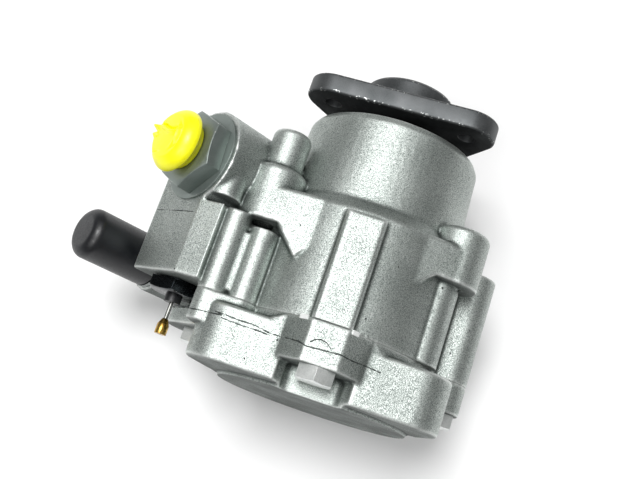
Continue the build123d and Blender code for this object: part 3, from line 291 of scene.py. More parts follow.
def finish_of(name, light, dark, patch, grain, rough, metallic, bump, worn=None, bare=0.52, scuffs=0.76,
              shade_colour=None):
    """A finish whose colour drifts in patches over a fine grain, and wears through on the marked edges.

    patch, grain and bump are millimetres, and rough is the lowest and highest roughness. The real grain of
    these finishes is a few hundredths of a millimetre, too fine to show, so it is drawn about ten times as
    coarse. More of the edges is bare with a lower bare, and more of the faces is scuffed with lower scuffs.
    The last argument is the colour of painted shade, in patches, on faces turned to the rear.
    """
    material, tree, shader, place = new_material(name)
    rub_size, scuff_size = 1.6 * MM, 0.9 * MM
    fine = add(tree, "ShaderNodeTexNoise", {
        "Vector": place, "Scale": 1 / (grain * MM), "Detail": 2.0}).outputs[0]
    broad = add(tree, "ShaderNodeTexNoise", {
        "Vector": place, "Scale": 1 / (patch * MM), "Detail": 2.0, "Roughness": 0.5}).outputs[0]
    speckle = add(tree, "ShaderNodeMapRange", {
        "Value": fine, "From Min": 0.3, "From Max": 0.7, "To Min": -0.2, "To Max": 0.2}).outputs[0]
    share = add(tree, "ShaderNodeMapRange", {
        "Value": broad, "From Min": 0.25, "From Max": 0.75, "To Min": 0.1, "To Max": 0.9}).outputs[0]
    share = add(tree, "ShaderNodeMath", {0: share, 1: speckle}, operation="ADD", use_clamp=True).outputs[0]
    colour = add(tree, "ShaderNodeMix", {0: share, 6: opaque(dark), 7: opaque(light)},
                 data_type="RGBA").outputs[2]
    shine = add(tree, "ShaderNodeMapRange", {
        "Value": fine, "From Min": 0.3, "From Max": 0.7, "To Min": rough[0], "To Max": rough[1]}).outputs[0]
    if worn:
        edge = add(tree, "ShaderNodeAttribute", attribute_name="edge").outputs["Fac"]
        rub = add(tree, "ShaderNodeTexNoise", {
            "Vector": place, "Scale": 1 / rub_size, "Detail": 4.0, "Roughness": 0.7}).outputs[0]
        rub = add(tree, "ShaderNodeMapRange", {
            "Value": rub, "From Min": bare, "From Max": bare + 0.08}).outputs[0]
        rub = add(tree, "ShaderNodeMath", {0: edge, 1: rub}, operation="MULTIPLY").outputs[0]
        scuff = add(tree, "ShaderNodeTexNoise", {
            "Vector": place, "Scale": 1 / scuff_size, "Detail": 4.0, "Roughness": 0.7}).outputs[0]
        scuff = add(tree, "ShaderNodeMapRange", {
            "Value": scuff, "From Min": scuffs, "From Max": scuffs + 0.04, "To Max": 0.7}).outputs[0]
        through = add(tree, "ShaderNodeMath", {0: rub, 1: scuff}, operation="MAXIMUM").outputs[0]
        colour = add(tree, "ShaderNodeMix", {0: through, 6: colour, 7: opaque(worn)},
                     data_type="RGBA").outputs[2]
        shine = add(tree, "ShaderNodeMix", {0: through, 2: shine, 3: 0.3}).outputs[0]
    # Painted shade on faces turned to the rear, which also shine less there
    if shade_colour:
        colour, rear_shade = rear_shaded(tree, colour, shade_colour, 0.9)
        shine = add(tree, "ShaderNodeMix", {0: rear_shade, 2: shine, 3: 0.9}).outputs[0]
    tree.links.new(colour, shader.inputs["Base Color"])
    tree.links.new(shine, shader.inputs["Roughness"])
    shader.inputs["Metallic"].default_value = metallic
    relief = add(tree, "ShaderNodeBump", {"Strength": 0.5, "Distance": bump * MM, "Height": fine})
    tree.links.new(relief.outputs[0], shader.inputs["Normal"])
    return material


# Meshes


def link(piece):
    """Puts a new object into the scene."""
    bpy.context.scene.collection.objects.link(piece)
    return piece


def merged(node):
    """A CAD node's surface as one closed mesh."""
    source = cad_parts[node].data
    bm = bmesh.new()
    points = [bm.verts.new(vertex.co) for vertex in source.vertices]
    for polygon in source.polygons:
        bm.faces.new([points[index] for index in polygon.vertices])
    bmesh.ops.remove_doubles(bm, verts=bm.verts, dist=MM / 1000)
    return bm


def piece_from(bm, name, sharp=40):
    """An object from a mesh in the making, shaded smooth up to its edges that are sharper than an angle."""
    for face in bm.faces:
        face.smooth = True
    for edge in bm.edges:
        edge.smooth = not edge.is_manifold or edge.calc_face_angle() < math.radians(sharp)
    mesh = bpy.data.meshes.new(name)
    bm.to_mesh(mesh)
    bm.free()
    return link(bpy.data.objects.new(name, mesh))


def outcome(piece):
    """The plain mesh that a piece's modifiers give; the modifiers come off."""
    bpy.context.view_layer.update()
    mesh = bpy.data.meshes.new_from_object(piece.evaluated_get(bpy.context.evaluated_depsgraph_get()))
    piece.modifiers.clear()
    return mesh


def rows_of(mesh, what):
    """The places or the normals of a mesh's vertices, as rows of three."""
    rows = np.empty(len(mesh.vertices) * 3)
    mesh.vertices.foreach_get(what, rows)
    return rows.reshape(-1, 3)


def bevelled(node, name, width):
    """A CAD node's shape with its sharp edges broken, and the outer ones marked for the finish to wear."""
    bm = merged(node)
    mark = bm.faces.layers.float.new("edge")
    bmesh.ops.dissolve_limit(bm, angle_limit=math.radians(FLAT_BELOW), verts=bm.verts, edges=bm.edges)
    sharp = [e for e in bm.edges if e.is_manifold and e.calc_face_angle() > math.radians(SHARP_ABOVE)]
    broken = bmesh.ops.bevel(bm, geom=sharp, offset=width, offset_type="OFFSET", segments=3, profile=0.5,
                             affect="EDGES", clamp_overlap=True)["faces"]
    bm.normal_update()
    for face in broken:
        turns = [edge.calc_face_angle_signed(0.0) for edge in face.edges if edge.is_manifold]
        face[mark] = float(sum(turns) > 0)
    bmesh.ops.triangulate(bm, faces=[face for face in bm.faces if len(face.verts) > 4])
    return piece_from(bm, name, 35)


def outward_at(turn):
    """The direction away from the shaft at a turn about it, from +X towards +Z."""
    angle = math.radians(turn)
    return Vector((math.cos(angle), 0, math.sin(angle)))


def side_place(turn, offset, station):
    """The matrix of a side axis: Z outwards and X along the shaft, as in the source of the solids."""
    outward, along = outward_at(turn), Vector((0, 1, 0))
    across = Vector((-outward.z, 0, outward.x))
    place = Matrix((along, outward.cross(along), outward)).transposed().to_4x4()
    place.translation = (across * offset + along * station) * MM
    return place


def rounded(points, radius, steps):
    """A profile with its inner corners turned to arcs that reach up to radius, or less than half a run."""
    line = [Vector(point) for point in points]
    smooth = [line[0]]
    for before, corner, after in zip(line, line[1:], line[2:]):
        cut = min(radius, (before - corner).length * 0.45, (after - corner).length * 0.45)
        start = corner + (before - corner).normalized() * cut
        end = corner + (after - corner).normalized() * cut
        for step in range(steps + 1):
            t = step / steps
            smooth.append(start * (1 - t) ** 2 + corner * 2 * t * (1 - t) + end * t ** 2)
    return smooth + [line[-1]]


def lathe(name, profile, place, segments=96, shape=None):
    """A turned piece: the profile, as radius and height in mm, goes round the Z axis of place.

    shape may change a point's radius and height by its angle.
    """
    bm = bmesh.new()
    rings = []
    for radius, height in profile:
        if radius < 1e-6:
            rings.append([bm.verts.new((0, 0, height * MM))])
            continue
        ring = []
        for number in range(segments):
            angle = 2 * math.pi * number / segments
            r, h = shape(radius, height, angle) if shape else (radius, height)
            ring.append(bm.verts.new((r * math.cos(angle) * MM, r * math.sin(angle) * MM, h * MM)))
        rings.append(ring)
    for low, high in zip(rings, rings[1:]):
        for number in range(segments if len(low) + len(high) > 2 else 0):
            following = (number + 1) % segments
            corners = [low[number % len(low)], low[following % len(low)],
                       high[following % len(high)], high[number % len(high)]]
            bm.faces.new(list(dict.fromkeys(corners)))
    bmesh.ops.remove_doubles(bm, verts=bm.verts, dist=MM / 10000)
    bm.transform(place)
    bmesh.ops.recalc_face_normals(bm, faces=bm.faces)
    return piece_from(bm, name)


def soften(piece, rounds, stations, voxel):
    """Smooths a casting's mesh, with its machined faces kept flat and its box kept, and marks it for wear,
    painted highlight and painted shade.

    The mark edge runs from -1 in a corner to 1 on an edge, and hollow from 0 to 1 in what the painted shade
    fills.
    """
    mesh = piece.data
    count = len(mesh.vertices)
    places = rows_of(mesh, "co")
    low, high = places.min(0), places.max(0)
    ends = np.empty(len(mesh.edges) * 2, dtype=np.int32)
    mesh.edges.foreach_get("vertices", ends)
    first, second = ends.reshape(-1, 2).T
    degree = np.bincount(ends, minlength=count)

    def around(values):
        """The mean over each vertex's neighbours."""
        if values.ndim > 1:
            return np.stack([around(column) for column in values.T], axis=1)
        sums = np.bincount(first, values[second], count) + np.bincount(second, values[first], count)
        return sums / degree

    held = [(np.abs(places[:, 1] - station * MM) < voxel * 0.3, station * MM) for station in stations]
    for share in [FIRST_PASS] + [SHRINK, GROW] * rounds:
        places = places + share * (around(places) - places)
        for flat, station in held:
            places[flat, 1] = station
    places = np.clip(places, low, high)
    mesh.vertices.foreach_set("co", places.ravel())
    mesh.update()
    normals = rows_of(mesh, "normal")
    bend = -np.einsum("ij,ij->i", around(places) - places, normals) / voxel
    for _ in range(BEND_PASSES):
        bend = 0.5 * bend + 0.5 * around(bend)
    filled = places
    for _ in range(FILL_PASSES):
        filled = 0.5 * filled + 0.5 * around(filled)
    depth = np.einsum("ij,ij->i", filled - places, normals) / voxel
    for mark, values in (("edge", np.clip(bend * BEND_GAIN, -1, 1)),
                         ("hollow", np.clip(depth / FULL_DEPTH, 0, 1))):
        mesh.attributes.new(mark, "FLOAT", "POINT").data.foreach_set("value", values)


def thinned(piece, most):
    """The piece's mesh with no more triangles than most; flat faces lose theirs first."""
    mesh = piece.data
    triangles = len(mesh.loops) - 2 * len(mesh.polygons)
    if triangles <= most:
        return mesh
    cut = piece.modifiers.new("Thinning", "DECIMATE")
    cut.ratio = most / triangles
    thin = outcome(piece)
    corners = np.array([corner[:] for corner in piece.bound_box])
    thin.vertices.foreach_set("co", np.clip(rows_of(thin, "co"), corners.min(0), corners.max(0)).ravel())
    return thin


def casting(node, name, looks, stations):
    """A CAD casting remade with soft edges and filled corners, as it leaves its mould."""
    piece = piece_from(merged(node), name)
    pitch = piece.modifiers.new("Mesh pitch", "REMESH")
    pitch.mode = "VOXEL"
    pitch.voxel_size = looks.voxel
    pitch.use_smooth_shade = True
    piece.data = outcome(piece)
    soften(piece, looks.rounds, stations, looks.voxel)
    piece.data = thinned(piece, MOST_TRIANGLES)
    piece.data.name = name
    return piece


def settle(piece, material, body, slot, *nodes):
    """Gives a finished piece its material and body, and hides the CAD nodes that it stands for; slot is not
    used.
    """
    piece.data.materials.clear()
    piece.data.materials.append(material)
    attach(piece, body)
    if nodes:
        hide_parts(*nodes)
    return piece


def paint(material, *nodes):
    """Gives CAD nodes whose shape stays a better material."""
    for node in nodes:
        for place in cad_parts[node].material_slots:
            place.material = material


# Geometry Nodes


def new_tree(name, sizes):
    """A node tree on a geometry, with named inputs for its sizes."""
    tree = bpy.data.node_groups.new(name, "GeometryNodeTree")
    tree.interface.new_socket("Geometry", in_out="INPUT", socket_type="NodeSocketGeometry")
    for label, kind in sizes:
        tree.interface.new_socket(label, in_out="INPUT", socket_type=kind)
    tree.interface.new_socket("Geometry", in_out="OUTPUT", socket_type="NodeSocketGeometry")
    entry = tree.nodes.new("NodeGroupInput")
    return tree, entry.outputs


def close_tree(tree, geometry, material):
    """Ends a node tree: its instances become real and take their material."""
    real = add(tree, "GeometryNodeRealizeInstances", {0: geometry})
    painted = add(tree, "GeometryNodeSetMaterial", {"Geometry": real.outputs[0], "Material": material})
    add(tree, "NodeGroupOutput", {0: painted.outputs[0]})


def grown(piece, tree, values):
    """Runs a node tree on a piece with its inputs set by identifier, and keeps the result as a plain mesh."""
    modifier = piece.modifiers.new(tree.name, "NODES")
    modifier.node_group = tree
    sockets = {item.name: item.identifier for item in tree.interface.items_tree if item.in_out == "INPUT"}
    for label, value in values.items():
        modifier[sockets[label]] = value
    mesh = outcome(piece)
    name = piece.name
    bpy.data.objects.remove(piece)
    return link(bpy.data.objects.new(name, mesh))


def screw_tree(material):
    """One screw stood at each point."""
    tree, inputs = new_tree("cover_screws", [("Screw", "NodeSocketObject")])
    model = add(tree, "GeometryNodeObjectInfo", {"Object": inputs["Screw"]}, transform_space="ORIGINAL")
    stood = add(tree, "GeometryNodeInstanceOnPoints", {
        "Points": inputs["Geometry"], "Instance": model.outputs["Geometry"]})
    close_tree(tree, stood.outputs[0], material)
    return tree


def line_tree(material):
    """A raised line of uneven width along a path, torn off here and there."""
    tree, inputs = new_tree("mould_line", [
        ("Half Width", "NodeSocketFloat"), ("Unevenness", "NodeSocketFloat")])
    speck = add(tree, "GeometryNodeInputPosition").outputs[0]
    drift = add(tree, "ShaderNodeTexNoise", {"Vector": speck, "Scale": 1 / (2.4 * MM), "Detail": 3.0})
    swell = add(tree, "ShaderNodeMapRange", {
        "Value": drift.outputs[0], "From Min": 0.35, "From Max": 0.65, "To Min": 0.25,
        "To Max": inputs["Unevenness"]})
    path = add(tree, "GeometryNodeResampleCurve", {
        "Curve": inputs["Geometry"], "Length": 0.35 * MM}, mode="LENGTH")
    section = add(tree, "GeometryNodeCurvePrimitiveCircle", {"Resolution": 8, "Radius": inputs["Half Width"]})
    swept = add(tree, "GeometryNodeCurveToMesh", {
        "Curve": path.outputs[0], "Profile Curve": section.outputs["Curve"], "Fill Caps": True,
        "Scale": swell.outputs[0]})
    close_tree(tree, swept.outputs[0], material)
    return tree


def path_piece(name, paths):
    """A curve object through rows of points, for a tree to follow."""
    curve = bpy.data.curves.new(name, "CURVE")
    curve.dimensions = "3D"
    for points in paths:
        spline = curve.splines.new("POLY")
        spline.points.add(len(points) - 1)
        for target, point in zip(spline.points, points):
            target.co = (*point, 1.0)
    return link(bpy.data.objects.new(name, curve))


def surface_of(*nodes):
    """The surface of CAD nodes, for marks to be laid on."""
    whole = bmesh.new()
    for node in nodes:
        whole.from_mesh(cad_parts[node].data)
    surface = BVHTree.FromBMesh(whole)
    whole.free()
    return surface


def met(surface, x, y):
    """The point and normal of a surface that the photograph shows at a pixel."""
    across = ((x - WIDE / 2) / WIDE + SHIFT) * SENSOR / LENS
    rise = (HIGH / 2 - y) / WIDE * SENSOR / LENS
    way = (RIGHT * across + UP * rise - RIGHT.cross(UP)).normalized()
    point, normal, _, _ = surface.ray_cast(EYE, way)
    if point is None:
        raise RuntimeError(f"No casting lies under the mark at {x}, {y}")
    return point, normal


def laid(surface, corners):
    """Points on a surface along a row of pixels, closer together than the corners that are given."""
    points = []
    for start, end in zip(corners, corners[1:]):
        start, end = Vector(start), Vector(end)
        count = max(1, round((end - start).length / LINE_STEP))
        points += [met(surface, *start.lerp(end, number / count))[0] for number in range(count)]
    return points + [met(surface, *corners[-1])[0]]


# Operators


class PUMP_OT_castings(bpy.types.Operator):
    """Remakes the front housing and the rear cover as soft-edged castings"""

    bl_idname = "pump.castings"
    bl_label = "Castings"

    def execute(self, context):
        looks = context.scene.pump_castings
        metal = cast_aluminium(looks)
        settle(casting("front_housing", "housing_casting", looks, (JOINT_FACE, EAR_REAR)), metal,
               "housing", "cast_aluminium", "front_housing")
        settle(casting("rear_cover", "cover_casting", looks, (0.0, JOINT_FACE)), metal,
               "housing", "cast_aluminium", "rear_cover")
        return {"FINISHED"}


class PUMP_OT_mould_marks(bpy.types.Operator):
    """Lays the mould line, the torn flash and the small pads at the joint on the castings"""

    bl_idname = "pump.mould_marks"
    bl_label = "Mould Marks"

    # The rows of pixels that the lines follow in the photograph
    LINES = [
        [(173, 307), (186, 307.5), (198, 309.5), (212, 313), (222, 315)],
        [(215, 311), (226, 315), (240, 320.5), (252, 324), (262, 329), (270, 333.5), (281, 336.5)],
        [(221, 317.5), (240, 325), (256, 330), (270, 335.5)],
        [(285, 337.5), (298, 341), (306, 346), (322, 350), (341, 355), (352, 361), (366, 366.5), (381, 373)],
        [(310, 342), (315, 339.5), (321, 339.5), (327, 343), (331, 349)],
    ]
    STEP_LINE = [[(158, 209.5), (170, 210), (182, 210.5), (193, 211.5)]]
    # The pixel and length of each pad, and what they share, in millimetres
    PADS = [((304.5, 316.5), 3.612), ((355.5, 333.6), 3.108)]
    PAD_WIDTH, PAD_HEIGHT, PAD_ROUND = 1.7, 1.1, 0.15

    def execute(self, context):
        looks = context.scene.pump_castings
        surface = surface_of("front_housing", "rear_cover")
        # Flash torn off a die-cast edge: duller than the blasted metal beside it, and darker with painted
        # shade
        torn = finish_of("aluminium_flash_torn", linear("#6a706d"), linear("#4b504e"), patch=3, grain=0.4,
                         rough=(0.4, 0.6), metallic=1.0, bump=0.05)
        for name, rows, width in (("cover_flash", self.LINES, looks.flash),
                                  ("block_step", self.STEP_LINE, looks.flash * 0.8)):
            path = path_piece(name, [laid(surface, row) for row in rows])
            line = grown(path, line_tree(torn), {"Half Width": width, "Unevenness": 1.3})
            settle(line, torn, "housing", "cast_aluminium")
        # Cut aluminium: nearly white and even, without the grain of the blasting
        bright = finish_of("aluminium_cut", linear("#fbfcfb"), linear("#e6e9e7"), patch=3, grain=0.4,
                           rough=(0.4, 0.5), metallic=0.3, bump=0.02)
        bm = bmesh.new()
        for pixel, length in self.PADS:
            point, normal = met(surface, *pixel)
            along = normal.cross(Vector((0, 1, 0))).normalized()
            place = Matrix((along, normal.cross(along), normal)).transposed().to_4x4()
            place.translation = point
            size = Matrix.Diagonal((length * MM, self.PAD_WIDTH * MM, self.PAD_HEIGHT * MM, 1.0))
            bmesh.ops.create_cube(bm, size=1.0, matrix=place @ size)
        bmesh.ops.bevel(bm, geom=bm.edges[:], offset=self.PAD_ROUND * MM, segments=2, profile=0.5,
                        affect="EDGES")
        settle(piece_from(bm, "joint_pads"), bright, "housing", "cast_aluminium")
        return {"FINISHED"}


class PUMP_OT_cover_screws(bpy.types.Operator):
    """Stands a hexagon screw in each seat of the rear cover"""

    bl_idname = "pump.cover_screws"
    bl_label = "Cover Screws"

    def execute(self, context):
        # Bright zinc plating on a forged head: almost white, with a silky shine and a few bare spots
        steel = finish_of("steel_zinc_plated_bright", linear("#f4f6f4"), linear("#ccd1ce"), patch=7,
                          grain=0.5, rough=(0.34, 0.46), metallic=0.7, bump=0.01, worn=linear("#ffffff"),
                          bare=0.5, scuffs=0.85)
        nodes = ["cover_screw_front", "cover_screw_left", "cover_screw_right", "cover_screw_lower"]
        seats = []
        for node in nodes:
            low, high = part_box(node)
            seats.append(Vector(((low.x + high.x) / 2, low.y, (low.z + high.z) / 2)))
        model = bevelled("cover_screw_front", "screw_model", context.scene.pump_steel.edge)
        model.data.transform(Matrix.Translation(-seats[0]))
        points = bpy.data.meshes.new("cover_screws")
        points.from_pydata(seats, [], [])
        stood = grown(link(bpy.data.objects.new("cover_screws", points)), screw_tree(steel), {"Screw": model})
        bpy.data.objects.remove(model)
        settle(stood, steel, "housing", "steel", *nodes)
        return {"FINISHED"}


class PUMP_OT_flange(bpy.types.Operator):
    """Breaks and wears the edges of the phosphated drive flange and finishes the shaft end"""

    bl_idname = "pump.flange"
    bl_label = "Drive Flange"

    def execute(self, context):
        looks = context.scene.pump_steel
        # Forged steel, phosphated: a dark matt skin, rubbed bright on its edges and scuffed on its faces
        # Its last colour is painted shade on the faces turned to the rear
        dark = finish_of("steel_phosphated_dark", looks.flange, linear("#3f4243"), patch=11, grain=0.5,
                         rough=(0.44, 0.58), metallic=0.85, bump=0.05, worn=looks.worn, bare=0.57,
                         scuffs=0.755, shade_colour=linear("#1b1d1e"))
        settle(bevelled("drive_flange", "flange_forging", looks.edge), dark,
               "shaft", "flange_steel", "drive_flange")
        # Ground steel: a clean grey with a tight, slightly clouded shine
        bright = finish_of("steel_ground", linear("#9da0a2"), linear("#74777a"), patch=8, grain=0.3,
                           rough=(0.22, 0.36), metallic=1.0, bump=0.01)
        paint(bright, "drive_shaft")
        return {"FINISHED"}


class PUMP_OT_union(bpy.types.Operator):
    """Finishes the zinc-plated outlet union and its washer"""

    bl_idname = "pump.union"
    bl_label = "Outlet Union"

    def execute(self, context):
        looks = context.scene.pump_steel
        # Zinc plating, passivated: a silky grey-green with bare spots along the corners of the hexagon
        zinc = finish_of("steel_zinc_olive", looks.zinc, linear("#7f8884"), patch=9, grain=0.5,
                         rough=(0.38, 0.5), metallic=0.8, bump=0.02, worn=linear("#fbfcfb"), bare=0.62,
                         scuffs=0.9)
        settle(bevelled("outlet_union", "union_turning", looks.edge), zinc,
               "housing", "zinc_steel", "outlet_union")
        settle(bevelled("union_washer", "union_washer_disc", looks.edge * 0.5), zinc,
               "housing", "zinc_steel", "union_washer")
        return {"FINISHED"}


class PUMP_OT_plug(bpy.types.Operator):
    """Moulds the yellow transport plug of the outlet"""

    bl_idname = "pump.plug"
    bl_label = "Outlet Plug"

    # Radii and heights in millimetres: the stem, the neck, the head's rim and the crown with its rings
    STEM, NECK, RIM = 6.9, 9.5, 12.5
    CROWN, CROWN_DROP, CROWN_RISE, RINGS, RING_PITCH = 9.0, 1.2, 0.5, 35, 0.25
    # Places on the rim in degrees: the two torn lips, the gap between them and the middle of the rim's fold
    LIPS, TEAR, RIM_FOLD = (66, 86), 76, 265

    def execute(self, context):
        looks = context.scene.pump_plastics
        # Injection-moulded polyethylene: an even, slightly waxy yellow with a soft shine
        yellow = finish_of("polyethylene_moulded_yellow", looks.plug, linear("#f7f000"), patch=7, grain=0.8,
                           rough=(0.3, 0.42), metallic=0.0, bump=0.03)
        tip, seat, shoulder = UNION_FRONT - 10, UNION_FRONT + 0.05, PLUG_TOP - self.CROWN_DROP
        stem = [(0, tip), (6, tip), (self.STEM, UNION_FRONT - 8), (self.STEM, seat),
                (self.NECK, seat), (self.NECK, PLUG_HEAD), (11.9, PLUG_HEAD)]
        dome = [(self.RIM, PLUG_HEAD + 0.6), (self.RIM, PLUG_HEAD + 2.2), (11.2, PLUG_HEAD + 4.4),
                (self.CROWN, shoulder)]
        crown = [(self.CROWN - self.RING_PITCH * ring,
                  shoulder + self.CROWN_RISE * math.sin(ring / self.RINGS * math.pi / 2))
                 for ring in range(1, self.RINGS + 1)]
        profile = rounded(stem + dome, 1.2, 3) + [Vector(point) for point in crown]
        profile.append(Vector((0, PLUG_TOP - 0.7)))

        def bell(distance, width):
            return math.exp(-(distance / width) ** 2)

        def moulded(radius, height, angle):
            """The crown's fold and groove, a short fold near the rim, a nick and two torn lips."""
            turn = math.degrees(angle)
            lips = sum(bell(turn - lip, 5.5) for lip in self.LIPS)
            flare = 0
            if height > PLUG_HEAD + 1 and radius > 7:
                flare = lips - 0.9 * bell(turn - self.TEAR, 2.6)
            if height < PLUG_HEAD + 3:
                return radius * (1 + 0.008 * math.sin(5 * angle)) + 0.9 * flare, height
            x, y = radius * math.cos(angle), radius * math.sin(angle)
            bow = 2.2 + 1.3 * math.sin((y - 2) * 0.33)
            along = 1 / (1 + math.exp(-(y + 5.5) * 1.6))
            fold = 1.2 * bell(x - bow, 0.8) - 1.3 * bell(x - bow - 1.5, 0.42)
            rim = 0.9 * bell(radius - 6.4, 0.6) - 0.8 * bell(radius - 7.7, 0.4)
            nick = bell(x + 6.4, 0.4) * bell(y - 5.5, 2.4)
            rise = fold * along + rim * bell(turn - self.RIM_FOLD, 32) - 1.1 * nick + 0.9 * flare
            return radius + 0.4 * flare, height + looks.web / MM * rise

        plug = lathe("plug_moulding", profile, side_place(UNION_TURN, UNION_OFFSET, UNION_STATION), 192,
                     moulded)
        settle(plug, yellow, "housing", "plug_yellow", "outlet_plug")
        return {"FINISHED"}


class PUMP_OT_suction(bpy.types.Operator):
    """Finishes the suction pipe and its black cap with a rounded end"""

    bl_idname = "pump.suction"
    bl_label = "Suction Cap"

    END_ROUND = 2.6

    def execute(self, context):
        looks = context.scene.pump_plastics
        # Moulded rubber: a bluish black with a faint sheen, greyed in a few dusty spots
        black = finish_of("rubber_moulded_black", looks.cap, linear("#0c0d10"), patch=12, grain=0.7,
                          rough=(0.3, 0.5), metallic=0.0, bump=0.03, worn=linear("#4a4f58"))
        inner = CAP_RADIUS - CAP_WALL
        profile = [(inner, CAP_MOUTH + 0.2), (CAP_RADIUS, CAP_MOUTH), (CAP_RADIUS, CAP_END - self.END_ROUND),
                   (CAP_RADIUS - self.END_ROUND, CAP_END), (0, CAP_END)]
        outside = rounded(profile, self.END_ROUND, 6)
        bore = [Vector((0, CAP_END - CAP_WALL)), Vector((inner, CAP_END - CAP_WALL))]
        cap = lathe("cap_moulding", outside + bore + [outside[0]],
                    side_place(PIPE_TURN, PIPE_OFFSET, PIPE_STATION))
        settle(cap, black, "housing", "cap_black", "suction_cap")
        # Drawn steel tube: a plain grey with a dull, even shine
        paint(finish_of("steel_drawn_tube", linear("#8d9190"), linear("#686c6b"), patch=8, grain=0.5,
                        rough=(0.3, 0.45), metallic=1.0, bump=0.02), "suction_pipe")
        return {"FINISHED"}


class PUMP_OT_switch(bpy.types.Operator):
    """Finishes the pressure switch with its insulator, stud and brass terminal"""

    bl_idname = "pump.switch"
    bl_label = "Pressure Switch"

    def execute(self, context):
        looks = context.scene.pump_steel
        # Turned steel, blackened: dark and smooth, with bare spots along its corners
        dark = finish_of("steel_blackened", linear("#33373a"), linear("#1d2022"), patch=9, grain=0.5,
                         rough=(0.22, 0.34), metallic=1.0, bump=0.01, worn=looks.worn, bare=0.6, scuffs=0.9)
        settle(bevelled("switch_body", "switch_turning", looks.edge), dark,
               "housing", "dark_steel", "switch_body")
        paint(dark, "switch_washer")
        # Moulded polyamide: a plain black, almost without shine
        paint(finish_of("polyamide_black", linear("#1d1e20"), linear("#141516"), patch=4, grain=0.5,
                        rough=(0.4, 0.55), metallic=0.0, bump=0.02), "switch_insulator")
        # Plated pin steel: a warm light grey
        paint(finish_of("steel_plated_pin", linear("#8f8f8c"), linear("#6d6d6a"), patch=4, grain=0.5,
                        rough=(0.3, 0.45), metallic=1.0, bump=0.01), "switch_stud")
        # Turned brass, tarnished in patches: gold between brown clouds, bright on its edges
        brass = finish_of("brass_turned", linear("#c9a559"), linear("#8f6f30"), patch=3, grain=0.4,
                          rough=(0.22, 0.36), metallic=1.0, bump=0.02, worn=linear("#f1dc9e"))
        settle(bevelled("brass_terminal", "terminal_turning", looks.edge * 0.5), brass,
               "housing", "brass", "brass_terminal")
        return {"FINISHED"}


class PUMP_OT_inner_parts(bpy.types.Operator):
    """Finishes the parts that lie inside the castings"""

    bl_idname = "pump.inner_parts"
    bl_label = "Inner Parts"

    def execute(self, context):
        # Hardened and ground steel: clean, light and close to a mirror
        paint(finish_of("steel_hardened_ground", linear("#a3a6a8"), linear("#7f8285"), patch=8, grain=0.3,
                        rough=(0.2, 0.32), metallic=1.0, bump=0.01),
              "vanes", "dowel_pins", "bearing_outer_ring", "bearing_inner_ring", "bearing_balls",
              "relief_ball", "relief_seat", "valve_spool")
        # Sintered steel: a darker, porous grey without a mirror
        paint(finish_of("steel_sintered", linear("#7d8080"), linear("#5c5f5f"), patch=5, grain=0.4,
                        rough=(0.4, 0.55), metallic=1.0, bump=0.02),
              "rotor", "cam_ring", "rear_port_plate", "front_port_plate")
        # Tempered spring steel: blue-grey and dark, with a dull shine
        paint(finish_of("steel_spring_tempered", linear("#5a5c60"), linear("#3c3e42"), patch=5, grain=0.4,
                        rough=(0.3, 0.45), metallic=1.0, bump=0.01),
              "plate_spring", "rotor_ring", "bearing_snap_ring", "seal_garter")
        # Moulded nitrile rubber: a matt, even black
        paint(finish_of("rubber_nitrile_black", linear("#1c1c1d"), linear("#121213"), patch=5, grain=0.6,
                        rough=(0.5, 0.65), metallic=0.0, bump=0.03),
              "cover_seal", "plate_seal", "shaft_seal")
        # Turned bronze: brown-gold with a soft shine
        paint(finish_of("bronze_bush", linear("#a07c4c"), linear("#7c5d36"), patch=5, grain=0.4,
                        rough=(0.3, 0.45), metallic=1.0, bump=0.01), "rear_bush")
        # Pressed brass sheet: a yellower gold than the bronze, as soft in its shine
        paint(finish_of("brass_pressed_cage", linear("#b99853"), linear("#8d7037"), patch=5, grain=0.4,
                        rough=(0.3, 0.45), metallic=1.0, bump=0.01), "bearing_cage")
        return {"FINISHED"}


class PUMP_OT_valve_springs(bpy.types.Operator):
    """Remakes the two coil springs of the flow valve as pieces of their own, each on the body that holds it
    """

    bl_idname = "pump.valve_springs"
    bl_label = "Valve Springs"

    def execute(self, context):
        # Drawn and tempered spring wire: blue-grey and dark, with a dull shine
        wire = finish_of("steel_spring_wire", linear("#5a5c60"), linear("#3c3e42"), patch=5, grain=0.4,
                         rough=(0.3, 0.45), metallic=1.0, bump=0.01)
        for node, body, joint, held_outside in (
                ("valve_spring", "housing", "valve_spool_slide", False),
                ("relief_spring", "valve_spool_set", "relief_ball_slide", True)):
            coil = settle(piece_from(merged(node), node + "_coil"), wire, body, "steel", node)
            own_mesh(coil)
        return {"FINISHED"}


